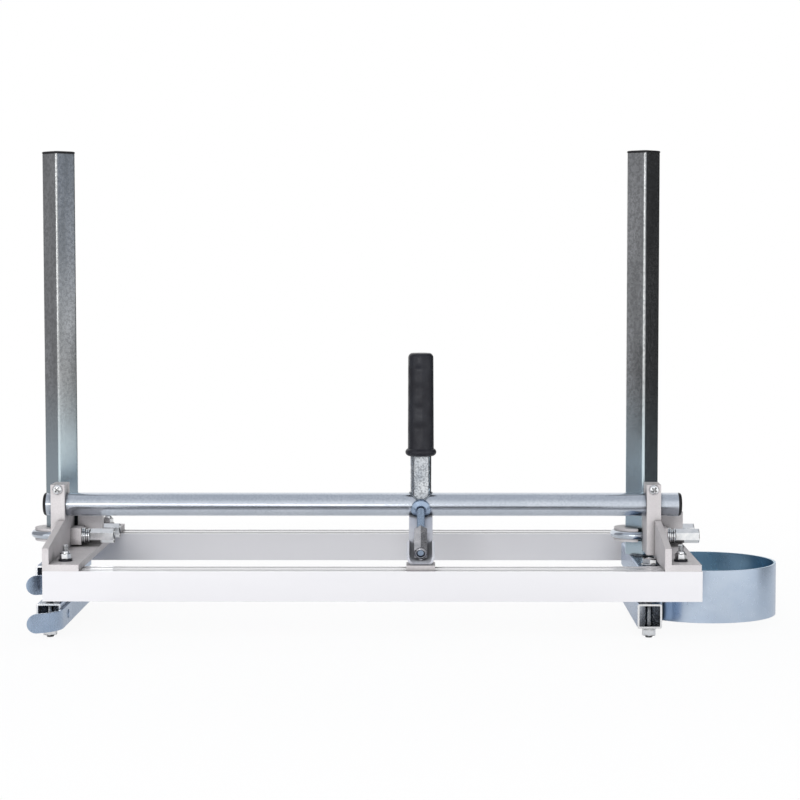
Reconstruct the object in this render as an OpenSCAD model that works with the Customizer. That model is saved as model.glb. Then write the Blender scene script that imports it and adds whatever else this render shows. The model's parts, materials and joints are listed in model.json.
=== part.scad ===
// Chainsaw mill: two slotted rails, an angle bracket at each end, a push tube with an upright handle,
// and two clamped posts whose jaws hold the guide bar of a chainsaw.
// The drawing frame has X along the rails from their middle, Y from the front face of the front rail
// to the back, and Z up from the top of the rails. The finished part stands on its four jaw bolts,
// so each sub-part is moved at the end to an origin under the middle of the whole.

/* [Rails] */
// Length of both rails
rail_len = 650; // [560:10:900]
// Depth of one rail, front to back
rail_w = 36; // [34:1:44]
// Height of one rail
rail_h = 30; // [28:1:40]
// Wall of the rail extrusion
rail_wall = 2; // [1.5:0.5:3]
// Front face of the front rail to back face of the rear rail
frame_w = 331; // [310:1:400]
// Middle of a slot to the nearer side of its rail
slot_inset = 8.5; // [8:0.5:10]
// Mouth width of a slot
slot_mouth = 7; // [6.5:0.5:8]
// Inner width of a slot
slot_width = 12; // [11.5:0.5:13]
// Lip thickness beside a slot's mouth
slot_lip = 2.5; // [2:0.5:3]
// Inner height of a slot under its lips
slot_height = 5; // [4.5:0.5:6]

/* [Push tube and handle] */
// Outer diameter of the push tube
push_d = 24; // [20:1:26]
// Wall of the push tube and of the handle tube
tube_wall = 1.5; // [1:0.5:2.5]
// Height of the push tube's middle above the rails
push_z = 53.5; // [52:0.5:60]
// Post middle to push tube middle, front to back
push_to_post = 50.5; // [49:0.5:60]
// How far the push tube stands out past the left angle's outer face
push_out_left = 14; // [11:1:40]
// How far the push tube stands out past the right angle's inner face
push_out_right = 25.5; // [12:0.5:60]
// Length of an end cap outside the push tube
push_cap_t = 3.5; // [2:0.5:6]
// Handle middle, to the right of the rails' middle
handle_x = 48; // [-60:1:60]
// Outer diameter of the handle tube
handle_d = 22; // [18:1:23]
// Top of the grip above the rails
grip_top = 210; // [180:1:240]
// Length of the grip
grip_len = 106; // [96:1:112]
// Outer diameter of the grip
grip_d = 26.5; // [26:0.5:32]
// Outer diameter of the grip's flange
grip_flange_d = 32; // [31:0.5:40]
// Thickness of the rubber over the handle tube's end
grip_end_t = 3; // [2:0.5:5]
// Number of finger grooves
grip_grooves = 5; // [3:1:5]

/* [Brace] */
// Width of the brace foot along the rail
foot_w = 28.5; // [26:0.5:36]
// Thickness of the brace foot
foot_t = 5; // [4:0.5:8]
// Front edge of the foot behind the rail's front face
foot_y = 5; // [1:0.5:6]
// Width of the brace channel across its flanges
channel_w = 27.5; // [25:0.5:28.5]
// Height of the channel's flanges, sole to edge
channel_h = 10.2; // [8:0.2:13]
// Thickness of the channel's sheet
channel_t = 2.5; // [1.5:0.5:3]
// Width of the plain upper part of the channel
channel_top_w = 24; // [20:0.5:25]
// Length of the flanged lower part of the channel
channel_flange_len = 57; // [50:1:70]
// Length of the brace's long nut
brace_nut_len = 48; // [30:1:50]
// Channel end to the long nut's lower end
brace_nut_inset = 6.5; // [3:0.5:12]
// Diameter of the dome washer
dome_d = 20; // [16:1:22]

/* [End brackets] */
// Thickness of the angle
angle_t = 6.5; // [5:0.5:8]
// Width of the angle's leg that lies on the rails
angle_leg = 36; // [32:1:50]
// Height of the angle's flange at its ends
flange_low = 22.5; // [15:0.5:30]
// Height of the angle's flange in its middle
flange_high = 38.5; // [37:0.5:40]
// Right angle's leg to the rails' right end
right_end_gap = 1; // [0:0.5:60]
// Thickness of the cheeks that seat the post
cheek_t = 8; // [6:0.5:8]
// Tube block, front to back
block_d = 32; // [30:1:36]
// Block above the push tube's middle
block_rise = 21.5; // [21:0.5:26]
// Width of the slit in the tube block
slit_w = 2; // [1:0.5:3]
// Rear cheek behind the post's middle
rear_cheek_y = 33.5; // [30:0.5:40]
// Underside of the cheeks above the rails
cheek_z = 2.5; // [1:0.5:5]
// Post's middle to the angle's outer face
post_back = 7; // [6.5:0.5:8]
// Thickness of the V bar
v_bar_t = 11; // [9:0.5:14]
// Height of the V bar
v_bar_h = 17.5; // [14:0.5:18]
// Length of the V bar, front to back
v_bar_len = 61; // [56:1:70]
// Height of the U-bolt above the rails
u_z = 17; // [16:0.5:18]
// Half the distance between the U-bolt's legs
u_half = 22; // [22:0.5:24]
// U-bolt's rod diameter
u_rod = 8; // [8:1:8]
// Post's middle to the middle of the U-bolt's bend
u_back = 6.7; // [6:0.1:9]
// Height of the saddle
saddle_h = 13.5; // [11:0.5:16]
// Length of the long hexagonal nuts
long_nut_len = 25; // [20:1:30]
// Thickness of the gusset
gusset_t = 13; // [8:1:13]
// Top of the gusset above the rails
gusset_top = 40.5; // [34:0.5:46]
// Rail bolt's middle from the angle's outer face
rail_bolt_x = 18.5; // [16:0.5:24]
// Top end of the rail bolts above the rails
rail_bolt_top = 23; // [18:0.5:28]

/* [Posts and jaws] */
// Side of the square posts and jaws
post_side = 25; // [25:1:25]
// Wall of the posts and jaws
post_wall = 2; // [1.5:0.5:3]
// Outer corner radius of the square tube
post_r = 2; // [1.5:0.5:3]
// Top end of the posts above the rails
post_top = 417; // [300:1:600]
// Length of the jaws, front to back
jaw_len = 185; // [160:1:200]
// Gap between the jaws, where the guide bar goes
jaw_gap = 14; // [8:1:20]
// Middle of a jaw bolt from the jaw's end
jaw_bolt_inset = 10; // [9:0.5:14]
// Jaw bolt's thread below its nut
jaw_bolt_out = 2.4; // [1:0.1:6]
// Thickness of the post cap's plate
post_cap_t = 2.5; // [1.5:0.5:4]
// Side of the post cap's plate
post_cap_side = 26.5; // [25:0.5:28]
// Height of the skid strips
skid_h = 19.5; // [14:0.5:22]
// Thickness of the skid strips
skid_t = 3; // [2:0.5:4]
// Outer radius of the skid strips' bends
skid_r = 35; // [33:1:36]
// Skid tip to the left of the jaw's middle
skid_tip = 16; // [8:1:18]
// Outer radius of the nose guard
guard_r = 75; // [70:1:90]
// Height of the nose guard
guard_h = 54; // [44:1:60]
// Sheet thickness of the nose guard
guard_t = 2.5; // [2:0.5:4]
// Half the distance between the guard's ends where they meet the jaw
guard_half = 52; // [45:1:56]
// Length of the guard's fixing tabs
guard_tab = 18; // [14:1:20]
// Top edge of the guard below the upper jaw's top
guard_drop = 7.5; // [4:0.5:12]

/* [Hidden] */
$fn = 64;

zinc = "#aeb9bf";
alu = "#b3aeac";
rail_white = "#e4e4e8";
black = "#26272c";
bright = "#c9ccce";

// Clearances
run_gap = 0.05;
seat_gap = 0.15;
slide_gap = 0.3;
bolt_gap = 0.2;
leaf_gap = 0.05;
least_r = 0.5;
overrun = 1;

// Standard fasteners
m8_r = 4;
m8_nut_w = 13;
m8_nut_h = 6.5;
m8_head_h = 5.3;
m8_washer_d = 16;
m8_washer_t = 1.6;
m6_r = 3;
m6_nut_w = 10;
m6_nut_h = 5.5;
m5_r = 2.5;
pan_head_d = 10;
pan_head_h = 3;
hex_ratio = 1 / cos(30);
rubber_d = 13.8;
rubber_t = 2.1;

// Places of the bodies in the drawing frame
post_y = frame_w / 2;
push_y = post_y - push_to_post;
push_r = push_d / 2;
left_x0 = -rail_len / 2;
right_x0 = rail_len / 2 - angle_leg - right_end_gap;
left_post_x = left_x0 - post_back;
right_post_x = right_x0 - post_back;
push_left = left_x0 - push_out_left;
push_right = right_x0 + push_out_right;

// Post, turned so that a corner faces each way
post_reach = post_side / sqrt(2);
post_corner = post_reach - post_r * (sqrt(2) - 1);

// Bracket
block_front = push_y - block_d / 2;
block_top = push_z + block_rise;
clamp_z = push_z + push_r + (block_rise - push_r) / 2;
ramp_gap = 2;
corner_gap = 0.25;
seat_flat = post_corner + corner_gap;
notch_gap = 0.6;
u_end_inset = 6;
washer_stack = [[18, 2], [18, 2], [14.6, 2.2], [16, 2.3]];
stack_t = washer_stack[0][1] + washer_stack[1][1] + washer_stack[2][1] + washer_stack[3][1];
nut_x = angle_t + v_bar_t + stack_t;
u_end = nut_x + long_nut_len - u_end_inset;
head_side = slot_width - 1;
head_t = slot_height - 1.5;
head_gap = 0.1;

// Jaws
jaw_top = post_side - rail_h;
upper_sole = jaw_top - post_side;
lower_top = upper_sole - jaw_gap;
lower_sole = lower_top - post_side;
jaw_bolt_y = jaw_len / 2 - jaw_bolt_inset;
bolt_head_top = jaw_top + m8_washer_t + m8_head_h;
nut_sole = lower_sole - m8_washer_t - m8_nut_h;
bolt_end = nut_sole - jaw_bolt_out;
rivet_r = 2.5;
rivet_head_r = 4.5;
rivet_head_t = 1.4;
rivet_inset = 32;
rivet_y = jaw_len / 2 - rivet_inset;

// Guard
guard_face = right_post_x + post_side / 2;
guard_x = guard_face + sqrt(guard_r * guard_r - guard_half * guard_half);
guard_top = jaw_top - guard_drop;

foot_inset = 3;

// Brace: its axis runs to the push tube's middle, one nut's corner above the channel's sole
long_nut_r = m8_nut_w / 2 * hex_ratio;
brace_rise = channel_t + long_nut_r;
brace_bite = 0.8;
brace_heel = 3;
brace_dy = push_y - foot_y - brace_heel;
brace_dz = push_z - foot_t + brace_bite;
brace_span = sqrt(brace_dy * brace_dy + brace_dz * brace_dz);
brace_angle = atan2(brace_dz, brace_dy) - asin(brace_rise / brace_span);
brace_run = sqrt(brace_span * brace_span - brace_rise * brace_rise);
brace_nut_end = brace_run - brace_nut_inset;
foot_back = rail_w - foot_inset;
foot_screw_y = rail_w - slot_inset;

// The whole part, for its origin
part_left = left_post_x - u_back - u_half - u_rod / 2;
part_right = guard_x + guard_r;
origin = [(part_left + part_right) / 2, post_y, bolt_end];

module place(x = 0) {
    translate([x, 0, 0] - origin)
        children();
}

// A flat shape whose X and Y become Y and Z, drawn out along X
module along_x(len) {
    rotate([90, 0, 90])
        linear_extrude(len)
            children();
}

// A flat shape whose X and Y become X and Z, drawn out along Y
module along_y(len) {
    translate([0, len, 0])
        rotate([90, 0, 0])
            linear_extrude(len)
                children();
}

module rod_x(r, len) {
    rotate([0, 90, 0])
        cylinder(r = r, h = len);
}

module rod_y(r, len) {
    rotate([-90, 0, 0])
        cylinder(r = r, h = len);
}

module round_square(side, r) {
    square([side, side - 2 * r], center = true);
    square([side - 2 * r, side], center = true);
    for (sx = [-1, 1], sy = [-1, 1])
        translate([sx * (side / 2 - r), sy * (side / 2 - r)])
            circle(r);
}

module square_ring(side, wall, r) {
    difference() {
        round_square(side, r);
        round_square(side - 2 * wall, max(r - wall, least_r));
    }
}

// Both ends of something that is alike in front of and behind the post
module front_and_rear(dy) {
    for (s = [-1, 1])
        translate([0, post_y + s * dy, 0])
            children();
}

// Post-shaped column for notches and seats, grown by a gap on each face
module post_column(gap, z0, z1) {
    translate([-post_back, post_y, z0])
        rotate(45)
            linear_extrude(z1 - z0)
                square(post_side + 2 * gap, center = true);
}

// Rail

module slot_cut() {
    translate([-slot_mouth / 2, -slot_lip - overrun])
        square([slot_mouth, slot_lip + 2 * overrun]);
    translate([-slot_width / 2, -slot_lip - slot_height])
        square([slot_width, slot_height]);
}

module rail_profile() {
    chamber_top = -slot_lip - slot_height - rail_wall;
    chamber_h = rail_h + chamber_top - rail_wall;
    chamber_w = (rail_w - 3 * rail_wall) / 2;
    difference() {
        translate([0, -rail_h])
            square([rail_w, rail_h]);
        for (y = [slot_inset, rail_w - slot_inset])
            translate([y, 0])
                slot_cut();
        for (y = [rail_wall, rail_w - rail_wall - chamber_w])
            translate([y, -rail_h + rail_wall])
                square([chamber_w, chamber_h]);
    }
}

module rail() {
    color(rail_white)
        translate([-rail_len / 2, 0, 0])
            along_x(rail_len)
                rail_profile();
}

module front_rail() {
    place()
        rail();
}

module rear_rail() {
    place()
        translate([0, frame_w - rail_w, 0])
            rail();
}

// Push tube, handle and brace

module brace_frame() {
    translate([handle_x, push_y, push_z])
        rotate([brace_angle, 0, 0])
            children();
}

module push_tube() {
    color(zinc)
        place()
            difference() {
                translate([push_left, push_y, push_z])
                    rod_x(push_r, push_right - push_left);
                translate([push_left - overrun, push_y, push_z])
                    rod_x(push_r - tube_wall, push_right - push_left + 2 * overrun);
                brace_frame()
                    translate([0, -push_r - overrun, 0])
                        rod_y(m8_r + run_gap, 2 * overrun + tube_wall);
            }
}

module push_cap() {
    plug_r = push_r - tube_wall - bolt_gap;
    plug_len = 8;
    plug_bite = push_cap_t / 2;
    round_r = min(push_cap_t - 0.5, push_r / 3);
    rotate([0, 90, 0])
        rotate_extrude() {
            translate([0, -plug_len])
                square([plug_r, plug_len + plug_bite]);
            square([push_r, push_cap_t - round_r]);
            square([push_r - round_r, push_cap_t]);
            translate([push_r - round_r, push_cap_t - round_r])
                intersection() {
                    circle(round_r);
                    square(round_r);
                }
        }
}

module push_tube_caps() {
    color(black)
        place() {
            translate([push_right, push_y, push_z])
                push_cap();
            translate([push_left, push_y, push_z])
                mirror([1, 0, 0])
                    push_cap();
        }
}

module handle_tube() {
    tube_foot = push_z + push_r / 2;
    tube_end = grip_top - grip_end_t;
    color(zinc)
        place()
            difference() {
                translate([handle_x, push_y, tube_foot])
                    cylinder(d = handle_d, h = tube_end - tube_foot);
                translate([handle_x, push_y, tube_foot - overrun])
                    cylinder(r = handle_d / 2 - tube_wall, h = tube_end - tube_foot + 2 * overrun);
                translate([handle_x - handle_d, push_y, push_z])
                    rod_x(push_r, 2 * handle_d);
            }
}

module grip_outline() {
    flange_t = 7.5;
    edge_r = 4;
    bead_r = flange_t / 2;
    square([grip_d / 2, grip_len - edge_r]);
    square([grip_d / 2 - edge_r, grip_len]);
    translate([grip_d / 2 - edge_r, grip_len - edge_r])
        circle(edge_r);
    square([grip_flange_d / 2 - bead_r, flange_t]);
    translate([grip_flange_d / 2 - bead_r, bead_r])
        circle(bead_r);
}

module handle_grip() {
    groove_r = 16;
    groove_depth = 1;
    groove_pitch = 20.5;
    groove_inset = 16;
    groove_top = grip_len - groove_inset;
    color(black)
        place()
            translate([handle_x, push_y, grip_top - grip_len])
                difference() {
                    rotate_extrude()
                        grip_outline();
                    translate([0, 0, -overrun])
                        cylinder(d = handle_d + 2 * run_gap, h = grip_len - grip_end_t + overrun);
                    for (i = [0:grip_grooves - 1])
                        translate([-grip_d, -grip_d / 2 - groove_r + groove_depth,
                                   groove_top - i * groove_pitch])
                            rod_x(groove_r, 2 * grip_d);
                }
}

module slot_nut(len) {
    translate([-len / 2, -head_side / 2, -slot_lip - head_gap - head_t])
        cube([len, head_side, head_t]);
}

module brace_foot() {
    corner = 2;
    color(alu)
        place()
            difference() {
                translate([handle_x - foot_w / 2, foot_y, 0])
                    cube([foot_w, foot_back - foot_y, foot_t]);
                translate([handle_x, foot_screw_y, -overrun])
                    cylinder(r = m6_r + bolt_gap, h = foot_t + 2 * overrun);
                for (s = [-1, 1])
                    translate([handle_x + s * foot_w / 2, foot_back, -overrun])
                        rotate(45)
                            cube([2 * corner, 2 * corner, 2 * (foot_t + 2 * overrun)], center = true);
            }
}

module brace_foot_screw() {
    screw_foot = -slot_lip - head_gap - head_t;
    nut_extra = 3;
    color(bright)
        place()
            translate([handle_x, foot_screw_y, 0]) {
                translate([0, 0, screw_foot])
                    cylinder(r = m6_r, h = foot_t - screw_foot);
                translate([0, 0, foot_t])
                    cylinder(d = pan_head_d, h = pan_head_h);
                difference() {
                    slot_nut(head_side + nut_extra);
                    translate([0, 0, screw_foot - overrun])
                        cylinder(r = m6_r + run_gap, h = head_t + 2 * overrun);
                }
            }
}

// Section of the channel's flanged part, sole down
module channel_section() {
    bend_r = 4;
    in_r = bend_r - channel_t;
    in_w = channel_w - 2 * channel_t;
    difference() {
        translate([-channel_w / 2, 0]) {
            translate([0, bend_r])
                square([channel_w, channel_h - bend_r]);
            translate([bend_r, 0])
                square([channel_w - 2 * bend_r, bend_r]);
            for (x = [bend_r, channel_w - bend_r])
                translate([x, bend_r])
                    circle(bend_r);
        }
        translate([-in_w / 2, channel_t + in_r])
            square([in_w, channel_h]);
        translate([-in_w / 2 + in_r, channel_t])
            square([in_w - 2 * in_r, channel_h]);
        for (s = [-1, 1])
            translate([s * (in_w / 2 - in_r), channel_t + in_r])
                circle(in_r);
    }
}

// Flanged part of the channel, whose upper corners are rounded off
module channel_flanges() {
    shoulder = channel_h - channel_t;
    translate([0, -brace_run, -brace_rise])
        intersection() {
            along_y(channel_flange_len)
                channel_section();
            translate([-channel_w, 0, 0])
                along_x(2 * channel_w) {
                    square([channel_flange_len, channel_t]);
                    square([channel_flange_len - shoulder, channel_h]);
                    translate([channel_flange_len - shoulder, channel_t])
                        circle(shoulder);
                }
        }
}

module brace_channel() {
    color(zinc)
        place()
            difference() {
                brace_frame() {
                    channel_flanges();
                    translate([-channel_top_w / 2, -brace_run + channel_flange_len - overrun, -brace_rise])
                        cube([channel_top_w, brace_run - channel_flange_len + overrun, channel_t]);
                }
                translate([handle_x - channel_w, foot_y - channel_w, foot_t - channel_w])
                    cube([2 * channel_w, 3 * channel_w, channel_w]);
                translate([handle_x - channel_w, push_y, push_z])
                    rod_x(push_r, 2 * channel_w);
            }
}

module brace_stud() {
    stud_in = push_r - tube_wall;
    stud_end = brace_nut_end - brace_nut_len / 3;
    color(zinc)
        place()
            brace_frame()
                translate([0, -stud_end, 0])
                    rod_y(m8_r, stud_end - stud_in);
}

module hex_nut(width, h, bore_r) {
    difference() {
        cylinder(r = width / 2 * hex_ratio, h = h, $fn = 6);
        translate([0, 0, -overrun])
            cylinder(r = bore_r, h = h + 2 * overrun);
    }
}

module brace_long_nut() {
    color(bright)
        place()
            brace_frame()
                translate([0, -brace_nut_end, 0])
                    rotate([-90, 90, 0])
                        hex_nut(m8_nut_w, brace_nut_len, m8_r + run_gap);
}

module brace_dome_washer() {
    dome_grip = 3;
    dome_foot = push_r - dome_grip;
    dome_edge = push_r + 1.2;
    dome_top = push_r + 4;
    color(zinc)
        place()
            difference() {
                brace_frame()
                    difference() {
                        rotate([90, 0, 0]) {
                            translate([0, 0, dome_foot])
                                cylinder(d = dome_d, h = dome_edge - dome_foot);
                            translate([0, 0, dome_edge])
                                cylinder(r1 = dome_d / 2, r2 = m8_r + 2, h = dome_top - dome_edge);
                        }
                        translate([0, -dome_top - overrun, 0])
                            rod_y(m8_r + run_gap, dome_top + 2 * overrun);
                        translate([-dome_d, -2 * dome_d, -long_nut_r - dome_d])
                            cube([2 * dome_d, 2 * dome_d, dome_d]);
                    }
                translate([handle_x - dome_d, push_y, push_z])
                    rod_x(push_r, 2 * dome_d);
            }
}

// End bracket, drawn from the outer face of its angle

module u_leg_holes(x0, x1) {
    front_and_rear(u_half)
        translate([x0, 0, u_z])
            rod_x(m8_r + bolt_gap, x1 - x0);
}

module angle_piece() {
    ramp_end = block_front - ramp_gap;
    color(alu)
        difference() {
            union() {
                cube([angle_leg, frame_w, angle_t]);
                along_x(angle_t)
                    polygon([
                        [0, 0], [frame_w, 0], [frame_w, flange_low],
                        [frame_w - ramp_end, flange_high], [ramp_end, flange_high], [0, flange_low]
                    ]);
            }
            post_column(notch_gap, -overrun, flange_high + overrun);
            u_leg_holes(-overrun, angle_t + overrun);
            for (y = [rail_w - slot_inset, frame_w - slot_inset])
                translate([rail_bolt_x, y, -overrun])
                    cylinder(r = m6_r + bolt_gap, h = angle_t + 2 * overrun);
        }
}

module tube_block_piece() {
    seat_y = post_y - seat_flat;
    heel_r = 8;
    heel_y = seat_y - heel_r;
    color(alu)
        difference() {
            union() {
                translate([-cheek_t, block_front, flange_high])
                    cube([cheek_t + angle_t, block_d, block_top - flange_high]);
                translate([-cheek_t, 0, 0])
                    along_x(cheek_t) {
                        translate([block_front, cheek_z])
                            square([heel_y - block_front, flange_high - cheek_z]);
                        translate([heel_y, cheek_z + heel_r])
                            circle(heel_r);
                        translate([block_front, cheek_z + heel_r])
                            square([post_y - block_front, flange_high - cheek_z - heel_r]);
                    }
            }
            translate([-cheek_t - overrun, push_y, push_z])
                rod_x(push_r + run_gap, cheek_t + angle_t + 2 * overrun);
            translate([-cheek_t - overrun, push_y - slit_w / 2, push_z])
                cube([cheek_t + angle_t + 2 * overrun, slit_w, block_rise + overrun]);
            translate([(angle_t - cheek_t) / 2, block_front - overrun, clamp_z])
                rod_y(m5_r + run_gap, block_d + 2 * overrun);
            post_column(seat_gap, 0, flange_high + overrun);
            translate([-cheek_t - overrun, seat_y, 0])
                cube([cheek_t - post_back + 2 * overrun, post_side, flange_high + overrun]);
            u_leg_holes(-cheek_t - overrun, overrun);
        }
}

module rear_cheek_piece() {
    color(alu)
        difference() {
            translate([-cheek_t, post_y, cheek_z])
                cube([cheek_t, rear_cheek_y, flange_high - cheek_z]);
            post_column(seat_gap, 0, flange_high + overrun);
            translate([-cheek_t - overrun, post_y - overrun, 0])
                cube([cheek_t - post_back + 2 * overrun, seat_flat + overrun, flange_high + overrun]);
            u_leg_holes(-cheek_t - overrun, overrun);
        }
}

module v_bar_piece() {
    color(alu)
        difference() {
            translate([angle_t, post_y - v_bar_len / 2, u_z - v_bar_h / 2])
                cube([v_bar_t, v_bar_len, v_bar_h]);
            post_column(seat_gap, 0, flange_high);
            u_leg_holes(angle_t - overrun, angle_t + v_bar_t + overrun);
        }
}

module gusset_piece() {
    side_gap = 0.5;
    near_post = post_corner - post_back + side_gap;
    past_bar = angle_t + v_bar_t + side_gap;
    bar_top = u_z + v_bar_h / 2;
    color(alu)
        translate([0, post_y - gusset_t / 2, 0])
            along_y(gusset_t)
                polygon([
                    [past_bar, angle_t], [angle_leg, angle_t], [angle_leg, gusset_top],
                    [near_post, gusset_top], [near_post, bar_top], [past_bar, bar_top]
                ]);
}

module u_bolt_piece() {
    bend_x = -post_back - u_back;
    color(zinc)
        translate([bend_x, post_y, u_z]) {
            rotate(90)
                rotate_extrude(angle = 180)
                    translate([u_half, 0])
                        circle(d = u_rod);
            for (s = [-1, 1])
                translate([0, s * u_half, 0])
                    rod_x(u_rod / 2, u_end - bend_x);
        }
}

module saddle_piece() {
    bend_x = -post_back - u_back;
    lip = 1.3;
    color(alu)
        difference() {
            translate([bend_x, post_y, u_z - saddle_h / 2])
                intersection() {
                    cylinder(r = u_half, h = saddle_h);
                    translate([-2 * u_half + lip, -2 * u_half, 0])
                        cube([2 * u_half, 4 * u_half, saddle_h]);
                }
            translate([bend_x, post_y, u_z]) {
                rotate_extrude()
                    translate([u_half, 0])
                        circle(r = u_rod / 2 + run_gap);
                for (s = [-1, 1])
                    translate([0, s * u_half, 0])
                        rod_x(u_rod / 2 + run_gap, lip + overrun);
            }
            post_column(seat_gap, 0, flange_high);
        }
}

module washer_x(d, t) {
    difference() {
        rod_x(d / 2, t);
        translate([-overrun, 0, 0])
            rod_x(m8_r + bolt_gap, t + 2 * overrun);
    }
}

module washers_piece() {
    color(bright)
        front_and_rear(u_half)
            translate([angle_t + v_bar_t, 0, u_z]) {
                washer_x(washer_stack[0][0], washer_stack[0][1] - leaf_gap);
                translate([washer_stack[0][1], 0, 0])
                    washer_x(washer_stack[1][0], washer_stack[1][1] - leaf_gap);
                translate([washer_stack[0][1] + washer_stack[1][1], 0, 0])
                    washer_x(washer_stack[2][0], washer_stack[2][1] - leaf_gap);
                translate([stack_t - washer_stack[3][1], 0, 0])
                    washer_x(washer_stack[3][0], washer_stack[3][1] - leaf_gap);
            }
}

module long_nut_piece(side) {
    color(bright)
        translate([nut_x, post_y + side * u_half, u_z])
            rotate([0, 90, 0])
                hex_nut(m8_nut_w, long_nut_len, m8_r + run_gap);
}

module clamp_screw_piece() {
    color(bright)
        translate([(angle_t - cheek_t) / 2, block_front, clamp_z]) {
            rod_y(m5_r, block_d - overrun);
            translate([0, -pan_head_h, 0])
                rod_y(pan_head_d / 2, pan_head_h);
        }
}

// Rail bolts stand at the rear slot of each rail
module at_rail_bolts() {
    for (y = [rail_w - slot_inset, frame_w - slot_inset])
        translate([rail_bolt_x, y, 0])
            children();
}

module rail_bolts_piece() {
    color(bright)
        at_rail_bolts() {
            slot_nut(head_side);
            translate([0, 0, -slot_lip - head_gap - overrun])
                cylinder(r = m6_r, h = rail_bolt_top + slot_lip + head_gap + overrun);
        }
}

module rail_nuts_piece() {
    color(bright)
        at_rail_bolts()
            translate([0, 0, angle_t + rubber_t])
                hex_nut(m6_nut_w, m6_nut_h, m6_r + run_gap);
}

module rubber_washers_piece() {
    color(black)
        at_rail_bolts()
            translate([0, 0, angle_t])
                difference() {
                    cylinder(d = rubber_d, h = rubber_t);
                    translate([0, 0, -overrun])
                        cylinder(r = m6_r + bolt_gap, h = rubber_t + 2 * overrun);
                }
}

// Post and jaws, drawn from the post's middle

module post_piece() {
    color(zinc)
        translate([0, post_y, jaw_top])
            rotate(45)
                linear_extrude(post_top - jaw_top)
                    square_ring(post_side, post_wall, post_r);
}

module post_cap_piece() {
    plug_side = post_side - 2 * post_wall - 2 * bolt_gap;
    plug_len = 12;
    color(black)
        translate([0, post_y, post_top])
            rotate(45) {
                linear_extrude(post_cap_t)
                    round_square(post_cap_side, post_r + 1);
                translate([0, 0, -plug_len])
                    linear_extrude(plug_len + post_cap_t / 2)
                        round_square(plug_side, 1);
            }
}

module jaw_tube(sole) {
    color(zinc)
        difference() {
            translate([0, post_y - jaw_len / 2, sole + post_side / 2])
                along_y(jaw_len)
                    square_ring(post_side, post_wall, post_r);
            front_and_rear(jaw_bolt_y)
                translate([0, 0, sole - overrun])
                    cylinder(r = m8_r + bolt_gap, h = post_side + 2 * overrun);
            children();
        }
}

module washer_z(t) {
    difference() {
        cylinder(d = m8_washer_d, h = t);
        translate([0, 0, -overrun])
            cylinder(r = m8_r + bolt_gap, h = t + 2 * overrun);
    }
}

module jaw_bolts_piece() {
    color(bright)
        front_and_rear(jaw_bolt_y) {
            translate([0, 0, jaw_top])
                washer_z(m8_washer_t - leaf_gap);
            translate([0, 0, jaw_top + m8_washer_t])
                rotate(30)
                    cylinder(r = m8_nut_w / 2 * hex_ratio, h = m8_head_h, $fn = 6);
            translate([0, 0, bolt_end])
                cylinder(r = m8_r, h = bolt_head_top - overrun - bolt_end);
        }
}

module jaw_nuts_piece() {
    color(bright)
        front_and_rear(jaw_bolt_y) {
            translate([0, 0, lower_sole - m8_washer_t])
                washer_z(m8_washer_t - leaf_gap);
            translate([0, 0, nut_sole])
                rotate(30)
                    hex_nut(m8_nut_w, m8_nut_h, m8_r + run_gap);
        }
}

module rivet_holes(sole) {
    front_and_rear(rivet_y)
        translate([0, 0, sole + skid_h / 2])
            rod_x(rivet_r, post_side);
}

// One bent end of a skid strip, at the front end of the jaw
module skid_end(sole) {
    bend_x = post_side / 2 + skid_t - skid_r;
    tip_r = skid_h / 2;
    intersection() {
        translate([bend_x, post_y - jaw_len / 2, sole])
            rotate(-90)
                rotate_extrude(angle = 90)
                    translate([skid_r - skid_t, 0])
                        square([skid_t, skid_h]);
        translate([0, post_y - jaw_len / 2 - 2 * skid_r, 0])
            along_y(2 * skid_r) {
                translate([-skid_tip + tip_r, sole + tip_r])
                    circle(tip_r);
                translate([-skid_tip + tip_r, sole])
                    square([skid_tip + post_side, skid_h]);
            }
    }
}

module skid_piece(sole) {
    color(zinc)
        difference() {
            union() {
                translate([post_side / 2, post_y - jaw_len / 2, sole])
                    cube([skid_t, jaw_len, skid_h]);
                skid_end(sole);
                translate([0, 2 * post_y, 0])
                    mirror([0, 1, 0])
                        skid_end(sole);
            }
            rivet_holes(sole);
        }
}

module rivets_piece(sole) {
    rivet_in = post_wall + 2;
    color(bright)
        front_and_rear(rivet_y)
            translate([post_side / 2, 0, sole + skid_h / 2]) {
                translate([-rivet_in, 0, 0])
                    rod_x(rivet_r, rivet_in + skid_t);
                translate([skid_t, 0, 0])
                    rod_x(rivet_head_r, rivet_head_t);
            }
}

// Nose guard, drawn in the frame of the rails

guard_screw_inset = 8;
guard_screw_y = guard_half + guard_tab - guard_screw_inset;
guard_screw_z = (guard_top + upper_sole) / 2;

module guard_screw_holes(r) {
    front_and_rear(guard_screw_y)
        translate([guard_face - post_side / 2, 0, guard_screw_z])
            rod_x(r, post_side);
}

module nose_guard() {
    color(zinc)
        place()
            difference() {
                translate([0, 0, guard_top - guard_h]) {
                    difference() {
                        translate([guard_x, post_y, 0])
                            cylinder(r = guard_r, h = guard_h, $fn = 128);
                        translate([guard_x, post_y, -overrun])
                            cylinder(r = guard_r - guard_t, h = guard_h + 2 * overrun, $fn = 128);
                        translate([guard_face - guard_r, post_y - guard_r, -overrun])
                            cube([guard_r, 2 * guard_r, guard_h + 2 * overrun]);
                    }
                    for (y = [post_y - guard_half - guard_tab, post_y + guard_half])
                        translate([guard_face, y, 0])
                            cube([guard_t, guard_tab, guard_h]);
                }
                translate([guard_face - overrun, 0, upper_sole - guard_h])
                    cube([overrun + slide_gap, frame_w, guard_h - slide_gap]);
                guard_screw_holes(m5_r);
            }
}

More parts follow.
